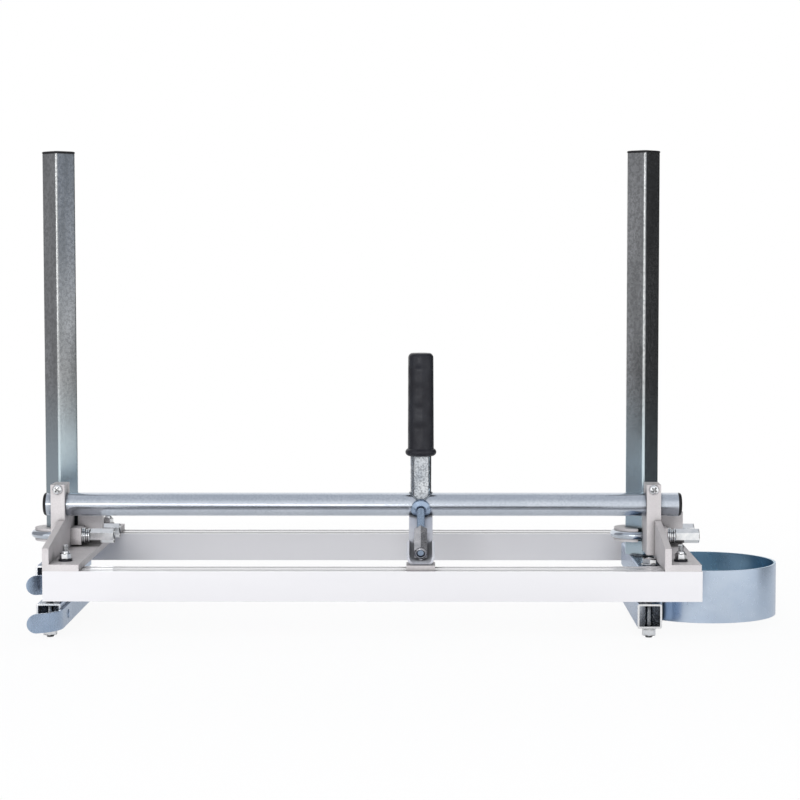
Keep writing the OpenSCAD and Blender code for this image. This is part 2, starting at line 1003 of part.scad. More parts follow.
module guard_screws() {
    color(bright)
        place()
            front_and_rear(guard_screw_y)
                translate([guard_face, 0, guard_screw_z]) {
                    translate([-post_wall - 2, 0, 0])
                        rod_x(m5_r, post_wall + 2 + guard_t);
                    translate([guard_t, 0, 0])
                        rod_x(pan_head_d / 2, pan_head_h);
                }
}

// Left end

module left_angle() {
    place(left_x0)
        angle_piece();
}

module left_tube_block() {
    place(left_x0)
        tube_block_piece();
}

module left_rear_cheek() {
    place(left_x0)
        rear_cheek_piece();
}

module left_v_bar() {
    place(left_x0)
        v_bar_piece();
}

module left_gusset() {
    place(left_x0)
        gusset_piece();
}

module left_u_bolt() {
    place(left_x0)
        u_bolt_piece();
}

module left_saddle() {
    place(left_x0)
        saddle_piece();
}

module left_washers() {
    place(left_x0)
        washers_piece();
}

module left_clamp_screw() {
    place(left_x0)
        clamp_screw_piece();
}

module left_rail_bolts() {
    place(left_x0)
        rail_bolts_piece();
}

module left_rail_nuts() {
    place(left_x0)
        rail_nuts_piece();
}

module left_rubber_washers() {
    place(left_x0)
        rubber_washers_piece();
}

module left_front_nut() {
    place(left_x0)
        long_nut_piece(-1);
}

module left_rear_nut() {
    place(left_x0)
        long_nut_piece(1);
}

module left_post() {
    place(left_post_x)
        post_piece();
}

module left_post_cap() {
    place(left_post_x)
        post_cap_piece();
}

module left_upper_jaw() {
    place(left_post_x)
        jaw_tube(upper_sole)
            rivet_holes(upper_sole);
}

module left_jaw_bolts() {
    place(left_post_x)
        jaw_bolts_piece();
}

module left_upper_skid() {
    place(left_post_x)
        skid_piece(upper_sole);
}

module left_upper_rivets() {
    place(left_post_x)
        rivets_piece(upper_sole);
}

module left_lower_jaw() {
    place(left_post_x)
        jaw_tube(lower_sole)
            rivet_holes(lower_sole);
}

module left_jaw_nuts() {
    place(left_post_x)
        jaw_nuts_piece();
}

module left_lower_skid() {
    place(left_post_x)
        skid_piece(lower_sole);
}

module left_lower_rivets() {
    place(left_post_x)
        rivets_piece(lower_sole);
}

// Right end

module right_angle() {
    place(right_x0)
        angle_piece();
}

module right_tube_block() {
    place(right_x0)
        tube_block_piece();
}

module right_rear_cheek() {
    place(right_x0)
        rear_cheek_piece();
}

module right_v_bar() {
    place(right_x0)
        v_bar_piece();
}

module right_gusset() {
    place(right_x0)
        gusset_piece();
}

module right_u_bolt() {
    place(right_x0)
        u_bolt_piece();
}

module right_saddle() {
    place(right_x0)
        saddle_piece();
}

module right_washers() {
    place(right_x0)
        washers_piece();
}

module right_clamp_screw() {
    place(right_x0)
        clamp_screw_piece();
}

module right_rail_bolts() {
    place(right_x0)
        rail_bolts_piece();
}

module right_rail_nuts() {
    place(right_x0)
        rail_nuts_piece();
}

module right_rubber_washers() {
    place(right_x0)
        rubber_washers_piece();
}

module right_front_nut() {
    place(right_x0)
        long_nut_piece(-1);
}

module right_rear_nut() {
    place(right_x0)
        long_nut_piece(1);
}

module right_post() {
    place(right_post_x)
        post_piece();
}

module right_post_cap() {
    place(right_post_x)
        post_cap_piece();
}

module right_upper_jaw() {
    place(right_post_x)
        jaw_tube(upper_sole)
            translate([-right_post_x, 0, 0])
                guard_screw_holes(m5_r);
}

module right_jaw_bolts() {
    place(right_post_x)
        jaw_bolts_piece();
}

module right_lower_jaw() {
    place(right_post_x)
        jaw_tube(lower_sole);
}

module right_jaw_nuts() {
    place(right_post_x)
        jaw_nuts_piece();
}

front_rail();
rear_rail();
push_tube();
push_tube_caps();
handle_tube();
handle_grip();
brace_foot();
brace_foot_screw();
brace_channel();
brace_stud();
brace_long_nut();
brace_dome_washer();
left_angle();
left_tube_block();
left_rear_cheek();
left_v_bar();
left_gusset();
left_u_bolt();
left_saddle();
left_washers();
left_clamp_screw();
left_rail_bolts();
left_rail_nuts();
left_rubber_washers();
left_front_nut();
left_rear_nut();
left_post();
left_post_cap();
left_upper_jaw();
left_jaw_bolts();
left_upper_skid();
left_upper_rivets();
left_lower_jaw();
left_jaw_nuts();
left_lower_skid();
left_lower_rivets();
right_angle();
right_tube_block();
right_rear_cheek();
right_v_bar();
right_gusset();
right_u_bolt();
right_saddle();
right_washers();
right_clamp_screw();
right_rail_bolts();
right_rail_nuts();
right_rubber_washers();
right_front_nut();
right_rear_nut();
right_post();
right_post_cap();
right_upper_jaw();
right_jaw_bolts();
nose_guard();
guard_screws();
right_lower_jaw();
right_jaw_nuts();
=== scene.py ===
"""Dresses a chainsaw mill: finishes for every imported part, and turned, threaded and moulded pieces.

Sizes of pieces are in millimetres in the drawing frame of the part: X along the rails from their
middle, Y from the front face of the front rail to the back, Z up from the top of the rails.
make_piece turns them into metres in the row frame. Finishes and the studio are in metres.
"""
import json
import logging
import math
from dataclasses import dataclass, field, fields
from enum import Enum

import bmesh
import bpy
import numpy as np
from mathutils import Matrix, Vector

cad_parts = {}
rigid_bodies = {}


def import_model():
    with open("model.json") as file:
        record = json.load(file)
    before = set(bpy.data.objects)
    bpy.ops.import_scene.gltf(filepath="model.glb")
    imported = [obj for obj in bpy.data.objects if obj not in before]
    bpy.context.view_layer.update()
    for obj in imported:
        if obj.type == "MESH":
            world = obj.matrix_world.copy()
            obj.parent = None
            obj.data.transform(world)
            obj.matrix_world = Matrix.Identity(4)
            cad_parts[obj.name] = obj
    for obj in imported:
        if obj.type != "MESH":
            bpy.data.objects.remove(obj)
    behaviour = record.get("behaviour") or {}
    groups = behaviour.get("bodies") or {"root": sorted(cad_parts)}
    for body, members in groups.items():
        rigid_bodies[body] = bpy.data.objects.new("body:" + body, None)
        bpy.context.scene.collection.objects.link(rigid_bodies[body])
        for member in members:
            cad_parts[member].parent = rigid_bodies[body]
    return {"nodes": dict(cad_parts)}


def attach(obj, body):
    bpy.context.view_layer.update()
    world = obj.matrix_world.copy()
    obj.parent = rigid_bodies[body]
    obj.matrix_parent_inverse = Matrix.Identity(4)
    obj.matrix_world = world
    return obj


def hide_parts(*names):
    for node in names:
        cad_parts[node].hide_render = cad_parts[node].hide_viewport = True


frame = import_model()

MM = 0.001
ORIGIN = np.array([28.923138, 165.5, -79.5])
Pair = tuple[float, float]
Triple = tuple[float, float, float]
Colour = Triple
Array = np.ndarray
Socket = bpy.types.NodeSocket
Material = bpy.types.Material
WHITE = (1.0, 1.0, 1.0)
X_AXIS = (1.0, 0.0, 0.0)
Z_AXIS = (0.0, 0.0, 1.0)
TOWARDS_VIEWER = (0.0, -1.0, 0.0)
POST_BACK = 7.0
log = logging.getLogger("chainsaw mill")


class Side(Enum):
    """The two ends of the mill, each with X of the left face of its angle."""

    LEFT = -325.0
    RIGHT = 288.0

    @property
    def word(self) -> str:
        """The side's word in the names of its parts."""
        return self.name.lower()

    @property
    def face(self) -> float:
        """X of the angle's left face."""
        return self.value

    @property
    def post(self) -> float:
        """X of the post's middle, to the left of the angle's face."""
        return self.value - POST_BACK


class Slot(Enum):
    """Names of the record's material slots, listed beside the push bar's new pieces but not given to them.
    """

    SHEET = "zinc_steel"
    FASTENER = "zinc_fasteners"
    RUBBER = "black_rubber"
    PLASTIC = "black_plastic"


# Finishes


class Graph:
    """The node tree of a material or of the world, with short calls to add nodes and join them."""

    bump_strength = 0.7
    bevel_samples = 4
    # Ambient occlusion samples and span of the painted shade in corners.
    grime_samples = 6
    grime_span = (0.35, 0.95)

    def __init__(self, owner: Material | bpy.types.World) -> None:
        """Empties the owner's tree.

        Args:
            owner: the material or the world.
        """
        owner.use_nodes = True
        self.owner, self.tree = owner, owner.node_tree
        self.tree.nodes.clear()

    def add(self, kind: str, inputs: dict | None = None, **settings: object) -> bpy.types.Node:
        """Adds one node.

        Args:
            kind: the node's type without its ShaderNode prefix.
            inputs: socket name or index to a value, a colour or another node's output.
            settings: properties of the node itself.

        Returns:
            The node.
        """
        node = self.tree.nodes.new("ShaderNode" + kind)
        for key, value in settings.items():
            setattr(node, key, value)
        for key, value in (inputs or {}).items():
            socket = node.inputs[key]
            if isinstance(value, Socket):
                self.tree.links.new(value, socket)
            else:
                socket.default_value = (*value, 1.0) if socket.type == "RGBA" else value
        return node

    def math(self, operation: str, *values: object) -> Socket:
        """One operation on numbers or sockets."""
        return self.add("Math", dict(enumerate(values)), operation=operation).outputs[0]

    def place(self, kind: str = "Object") -> Socket:
        """The shaded point's coordinates."""
        return self.add("TexCoord").outputs[kind]

    def parts(self, vector: Socket) -> bpy.types.NodeOutputs:
        """X, Y and Z of a vector."""
        return self.add("SeparateXYZ", {"Vector": vector}).outputs

    def length(self, vector: Socket) -> Socket:
        """Length of a vector."""
        return self.add("VectorMath", {0: vector}, operation="LENGTH").outputs["Value"]

    def noise(self, stretch: Triple, detail: float = 3.0, rough: float = 0.6) -> Socket:
        """Noise on Object coordinates, with its own number of grains per metre along each axis.

        Args:
            stretch: grains per metre along X, Y and Z.
            detail: octaves.
            rough: how much the finer octaves count.

        Returns:
            The noise's value, from 0 to 1.
        """
        scaled = self.add("Mapping", {"Vector": self.place(), "Scale": stretch}).outputs["Vector"]
        inputs = {"Vector": scaled, "Scale": 1.0, "Detail": detail, "Roughness": rough}
        return self.add("TexNoise", inputs).outputs["Fac"]

    def ramp(self, value: Socket, low: float, high: float,
             start: float = 0.3, end: float = 0.7) -> Socket:
        """Spreads a value from start to end over low to high, with soft ends."""
        inputs = {"Value": value, "From Min": start, "From Max": end, "To Min": low, "To Max": high}
        return self.add("MapRange", inputs, interpolation_type="SMOOTHSTEP").outputs["Result"]

    def blend(self, factor: object, first: object, second: object, how: str = "MIX") -> Socket:
        """Blends two colours, each a colour or a socket, by a factor."""
        inputs = {0: factor, 6: first, 7: second}
        return self.add("Mix", inputs, data_type="RGBA", blend_type=how).outputs[2]

    def relief(self, height: Socket, depth: float, edge: float) -> Socket:
        """Normal of a surface with worn, slightly rounded edges and a fine relief.

        Args:
            height: the relief, from 0 to 1.
            depth: its depth in metres.
            edge: radius of the rounded edges in metres, or 0.

        Returns:
            The normal.
        """
        inputs = {"Height": height, "Distance": depth, "Strength": self.bump_strength}
        if edge:
            bevel = self.add("Bevel", {"Radius": edge}, samples=self.bevel_samples)
            inputs["Normal"] = bevel.outputs["Normal"]
        return self.add("Bump", inputs).outputs["Normal"]

    def grime(self, colour: Socket, reach: float, least: float) -> Socket:
        """Paints shade into a colour: darkens it in corners and crevices, as ambient occlusion finds them.

        Args:
            colour: the colour.
            reach: how far from a corner it goes, in metres.
            least: what is left of the colour in the deepest corner.

        Returns:
            The darkened colour.
        """
        corner = self.add("AmbientOcclusion", {"Distance": reach}, samples=self.grime_samples)
        shade = self.ramp(corner.outputs["AO"], least, 1.0, *self.grime_span)
        return self.blend(1.0, colour, shade, "MULTIPLY")

    def close(self, **sockets: object) -> Material:
        """Adds the shader and the output.

        Args:
            sockets: the shader's inputs, with _ for a space in their names.

        Returns:
            The finished material.
        """
        inputs = {key.replace("_", " "): value for key, value in sockets.items()}
        shader = self.add("BsdfPrincipled", inputs).outputs["BSDF"]
        self.add("OutputMaterial", {"Surface": shader})
        return self.owner


@dataclass(frozen=True)
class Metal:
    """A metal with a drawn or brushed grain, clouds of a second colour, and rounded edges.

    A spangle adds spots of a darker colour. inner gives X, Y and radius of an upright cylinder within
    which the metal is painted a darker colour: painted shade and dim reflection inside a ring. Faces
    along Y take a second colour, a painted highlight on the sawn ends of a jaw, and foot is the colour
    at the lower end, which fades out over foot_span.
    """

    name: str
    light: Colour
    dark: Colour
    grain: Triple
    cloud: Triple
    gloss: Pair
    depth: float
    metallic: float = 1.0
    edge: float = 4e-4
    spangle: float = 0.0
    spot: float = 0.72
    spot_share: float = 0.55
    spot_span: Pair = (0.42, 0.62)
    grain_span: Pair = (0.25, 0.75)
    cloud_rough: float = 0.55
    # Cylinder and colour of the painted shade on the inside of a ring.
    inner: Triple | None = None
    inner_colour: Colour = (0.3, 0.47, 0.6)
    # How far the painted shade in corners reaches, and how much of the colour is left in the deepest corner.
    crevice: float = 0.006
    soiled: float = 0.3
    octaves: float = 3.0
    coat: float = 0.0
    coat_rough: float = 0.16
    # Colour and span of the painted highlight on faces along Y.
    cut_ends: Colour | None = None
    end_span: Pair = (0.8, 0.95)
    foot: Colour | None = None
    foot_span: Pair = (0.16, 0.27)

    def build(self) -> Material:
        """Makes the material.

        Returns:
            Clouds mix the two colours, and grain sets the relief and the roughness.
        """
        g = Graph(bpy.data.materials.new(self.name))
        grain = g.noise(self.grain, self.octaves)
        clouds = g.noise(self.cloud, rough=self.cloud_rough)
        colour = g.blend(g.ramp(clouds, 0.0, 1.0), self.dark, self.light)
        bumps = grain
        if self.spangle:
            cells = g.noise((self.spangle,) * 3, 2.0)
            shade = g.ramp(cells, 0.0, self.spot_share, *self.spot_span)
            colour = g.blend(shade, colour, tuple(self.spot * c for c in self.dark))
            bumps = g.math("ADD", grain, cells)
        # Painted shade and dim reflection: the colour is darker inside the cylinder.
        if self.inner:
            colour = g.blend(self.within(g), colour, self.inner_colour)
        if self.foot:
            lowness = g.ramp(g.parts(g.place())["Z"], 1.0, 0.0, *self.foot_span)
            colour = g.blend(lowness, colour, self.foot)
        # Painted highlight: faces along Y, such as the sawn ends of a jaw, take the highlight colour.
        if self.cut_ends:
            colour = g.blend(self.facing_ends(g), colour, self.cut_ends)
        # Painted shade: ambient occlusion darkens the base colour in corners and crevices.
        return g.close(Base_Color=g.grime(colour, self.crevice, self.soiled), Metallic=self.metallic,
                       Roughness=g.ramp(grain, *self.gloss, *self.grain_span),
                       Normal=g.relief(bumps, self.depth, self.edge),
                       Coat_Weight=self.coat, Coat_Roughness=self.coat_rough)

    def facing_ends(self, g: Graph) -> Socket:
        """Mask of the painted end highlight: 1 where the surface faces along Y, as a sawn end of a jaw does,
        and 0 elsewhere.
        """
        along = g.math("ABSOLUTE", g.parts(g.place("Normal"))["Y"])
        return g.ramp(along, 0.0, 1.0, *self.end_span)

    def within(self, g: Graph) -> Socket:
        """How far a point lies inside the inner cylinder, the mask of the painted inside shade.

        Args:
            g: the material's graph.

        Returns:
            0 at its radius, and 1 from a millimetre within.
        """
        x, y, radius = self.inner
        level = {"Vector": g.place(), "Location": (-x, -y, 0.0), "Scale": (1.0, 1.0, 0.0)}
        away = g.length(g.add("Mapping", level).outputs[0])
        return g.ramp(away, 1.0, 0.0, radius - MM, radius)


@dataclass(frozen=True)
class Moulded:
    """Moulded rubber or plastic with a fine grain, rubbed a little lighter in places."""

    name: str
    colour: Colour
    rubbed: Colour
    roughness: Pair
    grain: float = 1400.0
    cloud: float = 60.0
    cloud_span: Pair = (0.35, 0.7)
    depth: float = 5e-5
    edge: float = 4e-4
    specular: float = 0.35

    def build(self) -> Material:
        """Makes the material.

        Returns:
            Slow clouds mix the two colours, and a fine grain sets the relief.
        """
        g = Graph(bpy.data.materials.new(self.name))
        clouds = g.noise((self.cloud,) * 3, 4.0)
        colour = g.blend(g.ramp(clouds, 0.0, 1.0, *self.cloud_span), self.colour, self.rubbed)
        return g.close(Base_Color=colour, Roughness=g.ramp(clouds, *reversed(self.roughness)),
                       Normal=g.relief(g.noise((self.grain,) * 3), self.depth, self.edge),
                       Specular_IOR_Level=self.specular)


@dataclass
class Finishes:
    """Every finish of the mill, built once."""

    # Some metals below set how far and how dark their corners are painted in shade.
    rail: Metal = Metal("Satin anodised aluminium", (0.882, 0.874, 0.897), (0.868, 0.86, 0.885),
                        (30.0, 2400.0, 2400.0), (4.0, 40.0, 40.0), (0.275, 0.305), 1.5e-6,
                        metallic=0.12, edge=3e-4, crevice=0.01, soiled=0.12, coat=0.9)
    bracket: Metal = Metal("Milled aluminium", (0.80, 0.765, 0.77), (0.68, 0.65, 0.655),
                           (700.0, 160.0, 1500.0), (30.0, 18.0, 30.0), (0.42, 0.56), 3e-5,
                           metallic=0.25, edge=5e-4, spangle=900.0, spot=0.9, crevice=0.01)
    sheet: Metal = Metal("Zinc plated sheet", (0.44, 0.54, 0.69), (0.34, 0.44, 0.58),
                         (500.0, 500.0, 160.0), (14.0, 14.0, 22.0), (0.25, 0.29), 6e-7, edge=5e-4)
    # The guard's inside, within the cylinder given as inner, is painted in shade.
    guard: Metal = Metal("Zinc plated guard sheet", (0.61, 0.70, 0.82), (0.50, 0.60, 0.74),
                         (500.0, 500.0, 160.0), (14.0, 14.0, 22.0), (0.27, 0.3), 6e-7, edge=5e-4,
                         inner=(0.318627, 0.0, 0.0745))
    # The jaw tube has a painted highlight on its sawn ends and deep painted shade in its corners.
    jaw: Metal = Metal("Zinc plated jaw tube", (0.40, 0.50, 0.66), (0.31, 0.41, 0.57),
                       (500.0, 160.0, 500.0), (14.0, 14.0, 22.0), (0.22, 0.3), 2e-6, edge=6e-4,
                       cut_ends=(0.97, 0.97, 0.97), crevice=0.02, soiled=0.05)
    pale: Metal = Metal("Pale zinc channel", (0.80, 0.81, 0.87), (0.70, 0.72, 0.79),
                        (500.0, 160.0, 500.0), (30.0, 30.0, 30.0), (0.34, 0.44), 6e-6, metallic=0.35)
    dull: Metal = Metal("Dull zinc plating", (0.45, 0.45, 0.48), (0.28, 0.29, 0.32),
                        (900.0, 500.0, 900.0), (120.0, 50.0, 120.0), (0.2, 0.34), 1e-5, edge=3e-4)
    tube: Metal = Metal("Zinc plated tube", (0.65, 0.695, 0.76), (0.58, 0.63, 0.70),
                        (160.0, 900.0, 900.0), (18.0, 60.0, 60.0), (0.12, 0.18), 4e-6,
                        spangle=420.0, spot=0.92)
    handle: Metal = Metal("Zinc plated handle tube", (0.70, 0.73, 0.76), (0.44, 0.48, 0.53),
                          (650.0, 650.0, 350.0), (60.0, 60.0, 60.0), (0.08, 0.16), 1e-4,
                          spangle=560.0, spot=0.24, octaves=1.0)
    upright: Metal = Metal("Zinc plated post", (0.56, 0.57, 0.575), (0.42, 0.43, 0.43),
                           (900.0, 900.0, 160.0), (60.0, 60.0, 9.0), (0.14, 0.22), 6e-6, edge=1.4e-3,
                           spangle=300.0, foot=(0.61, 0.72, 0.77))
    fastener: Metal = Metal("Bright zinc plating", (0.95, 0.955, 0.96), (0.80, 0.82, 0.84),
                            (1500.0, 1500.0, 1500.0), (120.0, 120.0, 120.0), (0.12, 0.22), 4e-6,
                            edge=3e-4)
    weld: Metal = Metal("Plated weld bead", (0.42, 0.46, 0.50), (0.25, 0.28, 0.32),
                        (900.0, 900.0, 900.0), (200.0, 200.0, 200.0), (0.3, 0.5), 8e-5, edge=0.0)
    rubber: Moulded = Moulded("Black rubber", (0.010, 0.010, 0.014), (0.018, 0.019, 0.025), (0.3, 0.46))
    plastic: Moulded = Moulded("Black plastic", (0.008, 0.008, 0.009), (0.014, 0.014, 0.016), (0.3, 0.42))
    built: dict[str, Material] = field(default_factory=dict)

    def __post_init__(self) -> None:
        """Builds each finish."""
        chosen = [getattr(self, part.name) for part in fields(self) if part.name != "built"]
        self.built.update({finish.name: finish.build() for finish in chosen})

    def of(self, finish: Metal | Moulded) -> Material:
        """The built material of a finish."""
        return self.built[finish.name]

    def dress(self, node: str, finish: Metal | Moulded) -> None:
        """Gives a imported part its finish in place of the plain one.

        Args:
            node: the part's name.
            finish: its finish.
        """
        part = frame["nodes"][node]
        part.data.materials.clear()
        part.data.materials.append(self.of(finish))


# Surfaces


@dataclass
class Patch:
    """Points in the drawing frame and four-sided faces between them."""

    points: Array
    faces: Array

    def __add__(self, other: "Patch") -> "Patch":
        """Both patches in one."""
        faces = np.vstack([self.faces, other.faces + len(self.points)])
        return Patch(np.vstack([self.points, other.points]), faces)

    def moved(self, x: float, y: float) -> "Patch":
        """The patch, moved."""
        return Patch(self.points + np.array([x, y, 0.0]), self.faces)


def joined(patches: list[Patch]) -> Patch:
    """All the patches in one."""
    return sum(patches[1:], patches[0])


def around(count: int) -> Array:
    """Angles of a full turn, evenly spread."""
    return np.linspace(0.0, 2 * math.pi, count, endpoint=False)


def circle(turn: Array) -> Array:
    """X and Y at each angle on a circle of radius 1."""
    return np.stack([np.cos(turn), np.sin(turn)], 1)


def squarish(turn: Array, power: float = 9.0) -> Array:
    """Radius of a superellipse of half side 1 at each angle: (|cos|^power + |sin|^power)^(-1/power)."""
    return (np.abs(np.cos(turn)) ** power + np.abs(np.sin(turn)) ** power) ** (-1 / power)


def net(points: Array, loop_rows: bool = False, loop_columns: bool = True) -> Patch:
    """Faces over a grid of points: each row joins the next, and each column the next.

    Args:
        points: array of rows, columns and 3.
        loop_rows: whether the last row joins the first.
        loop_columns: whether the last column joins the first.

    Returns:
        The patch.
    """
    rows, columns = points.shape[:2]
    index = np.arange(rows * columns).reshape(rows, columns)
    if loop_rows:
        index = np.vstack([index, index[:1]])
    if loop_columns:
        index = np.hstack([index, index[:, :1]])
    corners = [index[:-1, :-1], index[:-1, 1:], index[1:, 1:], index[1:, :-1]]
    return Patch(points.reshape(-1, 3), np.stack(corners, -1).reshape(-1, 4))


def axes_of(axis: Triple) -> Array:
    """Three directions at right angles.

    Args:
        axis: the last of them, of any length.

    Returns:
        Three unit rows, right-handed, with the given axis last.
    """
    along = np.array(axis, float) / np.linalg.norm(axis)
    helper = np.array(Z_AXIS if abs(along[2]) < 0.9 else X_AXIS)
    across = np.cross(helper, along)
    across /= np.linalg.norm(across)
    return np.array([across, np.cross(along, across), along])


def round_grid(radius: Array, height: Array, at: Triple, axis: Triple) -> Array:
    """Points around an axis: column j stands at angle 2 pi j / columns.

    Args:
        radius: distance from the axis, rows by columns.
        height: distance along the axis, rows by columns or rows by 1.
        at: where the axis starts.
        axis: its direction.

    Returns:
        Array of rows, columns and 3.
    """
    turn = around(radius.shape[1])
    height = np.broadcast_to(height, radius.shape)
    local = np.stack([radius * np.cos(turn), radius * np.sin(turn), height], -1)
    return local @ axes_of(axis) + np.array(at)


def turned(profile: list[Pair], at: Triple, axis: Triple,
           columns: int = 48, flats: float = 0.0, closed: bool = True, turned_by: float = 0.0) -> Patch:
    """A turned blank, cut back to six flats if it is a nut or a bolt head.

    A point at angle a is at radius min(r, flats / cos(angle from the nearest flat's middle)).

    Args:
        profile: radius and height of each row, going up the outside.
        at: where the axis starts.
        axis: its direction.
        columns: points around.
        flats: distance from the axis to a flat, or 0 for none.
        closed: whether the last row joins the first, as on a piece with a bore.
        turned_by: degrees that the flats are turned.

    Returns:
        The patch.
    """
    rows = np.array(profile, float)
    radius = np.repeat(rows[:, :1], columns, axis=1)
    if flats:
        turn = around(columns) - math.radians(turned_by)
        nearest = np.mod(turn + math.pi / 6, math.pi / 3) - math.pi / 6
        radius = np.minimum(radius, flats / np.cos(nearest))
    return net(round_grid(radius, rows[:, 1:], at, axis), loop_rows=closed)


@dataclass(frozen=True)
class Metric:
    """A metric size: its threaded rods, nuts and heads.

    It is given by the radius of the crests, the pitch and the width across the flats of a nut.
    """

    radius: float
    pitch: float
    width: float
    play: float = 0.05
    countersink: float = 0.12
    thread_depth: float = 0.6
    face_share: float = 0.95
    columns: int = 20
    rows_a_turn: int = 6

    def blank(self, height: float) -> list[Pair]:
        """Outside of a hexagon's blank: a 30 degree cone at each end, from the flats to the corners.

        Args:
            height: the blank's.

        Returns:
            Radius and height of each row, going up.
        """
        flats = self.width / 2
        corner = flats / math.cos(math.pi / 6)
        radius = np.linspace(self.face_share * flats, corner, 5)
        drop = (corner - radius) * math.tan(math.pi / 6)
        return list(zip(radius, drop)) + list(zip(radius[::-1], (height - drop)[::-1]))

    def nut(self, at: Triple, axis: Triple, height: float, turned_by: float = 0.0) -> Patch:
        """A chamfered nut with a countersunk bore.

        Args:
            at: middle of its sole.
            axis: from the sole to the top.
            height: the nut's.
            turned_by: degrees that its flats are turned.

        Returns:
            The patch.
        """
        bore = self.radius + self.play
        sink = self.countersink * bore
        inside = [(bore + sink, height), (bore, height - sink), (bore, sink), (bore + sink, 0.0)]
        return turned(self.blank(height) + inside, at, axis, flats=self.width / 2, turned_by=turned_by)

    def head(self, at: Triple, axis: Triple, height: float, turned_by: float = 0.0) -> Patch:
        """A chamfered bolt head, closed above and below, from its sole at the given place."""
        profile = [(0.0, 0.0), *self.blank(height), (0.0, height)]
        return turned(profile, at, axis, flats=self.width / 2, closed=False, turned_by=turned_by)

    def rod(self, at: Triple, axis: Triple, length: float) -> Patch:
        """A threaded rod with chamfered ends.

        Its radius falls from the crest by a triangle wave of height / pitch - turn / 2 pi, which is
        cut flat at the crest and at the root.

        Args:
            at: the rod's lower end.
            axis: its direction.
            length: its length.

        Returns:
            The patch.
        """
        height = np.linspace(0.0, length, int(length / self.pitch * self.rows_a_turn) + 1)[:, None]
        turn = np.linspace(0.0, 1.0, self.columns, endpoint=False)
        wave = np.abs(np.mod(height / self.pitch - turn, 1.0) - 0.5) * 2
        depth = self.thread_depth * self.pitch
        radii = self.radius - depth * np.clip(1.25 * wave - 0.12, 0.0, 1.0)
        chamfer = self.radius - depth + np.minimum(height, length - height)
        closing = np.zeros((1, self.columns))
        radii = np.vstack([closing, np.minimum(radii, chamfer), closing])
        height = np.vstack([height[:1], height, height[-1:]])
        return net(round_grid(radii, height, at, axis))


M6 = Metric(3.0, 1.0, 10.0)
M8 = Metric(4.0, 1.25, 13.0)
M8_HOLE = 4.2


def washer(at: Triple, axis: Triple, outer: float, bore: float, thick: float) -> Patch:
    """A flat washer with eased edges.

    Args:
        at: middle of its sole.
        axis: its direction.
        outer: radius of the rim.
        bore: radius of the bore.
        thick: its thickness.

    Returns:
        The patch.
    """
    ease = 0.25 * thick
    profile = [(bore, ease), (bore + ease, 0.0), (outer - ease, 0.0), (outer, ease),
               (outer, thick - ease), (outer - ease, thick), (bore + ease, thick), (bore, thick - ease)]
    return turned(profile, at, axis)


def carried(path: Array, first: Array, second: Triple, profile: Array,
            swell: Array, loop: bool) -> Patch:
    """A profile carried along a path.

    Point (i, j) is path i plus swell i times profile j, measured along two directions.

    Args:
        path: points of the path.
        first: unit direction across the path at each point.
        second: the other one, the same along the whole path.
        profile: points of the profile along the two directions.
        swell: size of the profile at each point.
        loop: whether the path closes on itself.

    Returns:
        The patch, with both ends closed if the path is open.
    """
    offset = profile[None, :, :1] * first[:, None] + profile[None, :, 1:] * np.array(second)
    points = path[:, None] + swell[:, None, None] * offset
    if not loop:
        ends = [np.broadcast_to(path[i], points[0].shape)[None] for i in (0, -1)]
        points = np.vstack([ends[0], points, ends[1]])
    return net(points, loop_rows=loop)


def spring_washer(at: Triple, axis: Triple, outer: float, bore: float, thick: float) -> Patch:
    """A split washer: a rectangle carried round a shallow helix with a gap of 10 degrees.

    Args:
        at: middle of its sole.
        axis: its direction.
        outer: radius of the rim.
        bore: radius of the bore.
        thick: its height.

    Returns:
        The patch.
    """
    turn = np.linspace(math.radians(5), math.radians(355), 60)
    axes = axes_of(axis)
    outward = circle(turn) @ axes[:2]
    wide, tall = (outer - bore) / 2, 0.42 * thick
    rise = tall + (thick - 2 * tall) * turn / (2 * math.pi)
    path = np.array(at) + outward * (outer + bore) / 2 + np.outer(rise, axes[2])
    profile = np.array([(-wide, -tall), (-wide, tall), (wide, tall), (wide, -tall)])
    return carried(path, outward, axes[2], profile, np.ones(len(turn)), False)


def screw(at: Triple, axis: Triple, diameter: float, height: float, shank_r: float, depth: float,
          cross: bool = True) -> Patch:
    """A domed screw with a cross recess, or a rivet, with its plain shank.

    The head rises from its rim by a quarter ellipse of the radius, less the recess where a point lies
    on a bar of the cross. Widths of the cross are shares of the head's radius.

    Args:
        at: middle of the head's sole.
        axis: out of the head.
        diameter: the head's.
        height: the head's.
        shank_r: radius of the shank.
        depth: how far the shank goes in.
        cross: whether it has a recess, which a rivet hasn't.

    Returns:
        The patch.
    """
    columns, rim, bar, reach, sunk, into_head = 72, 0.3, 0.15, 0.62, 0.55, 0.1
    radius = np.linspace(1.0, 0.0, 22)[:, None] * np.ones(columns)
    turn = around(columns) + math.radians(38)
    rise = height * (rim + (1 - rim) * np.sqrt(np.clip(1 - radius ** 2.4, 0, 1)))
    if cross:
        near, far = (f(np.abs(radius * np.cos(turn)), np.abs(radius * np.sin(turn)))
                     for f in (np.minimum, np.maximum))
        inside = np.clip((bar - near) / 0.06, 0, 1) * np.clip((reach - far) / 0.1, 0, 1)
        rise = rise - sunk * height * inside
    radius = np.vstack([radius[:1] * 0, radius[:1], radius])
    rise = np.vstack([rise[:1] * 0, rise[:1] * 0, rise])
    shank = [(0.0, -depth), (shank_r, -depth), (shank_r, into_head), (0.0, into_head)]
    return (net(round_grid(radius * diameter / 2, rise, at, axis))
            + turned(shank, at, axis, 24, closed=False))


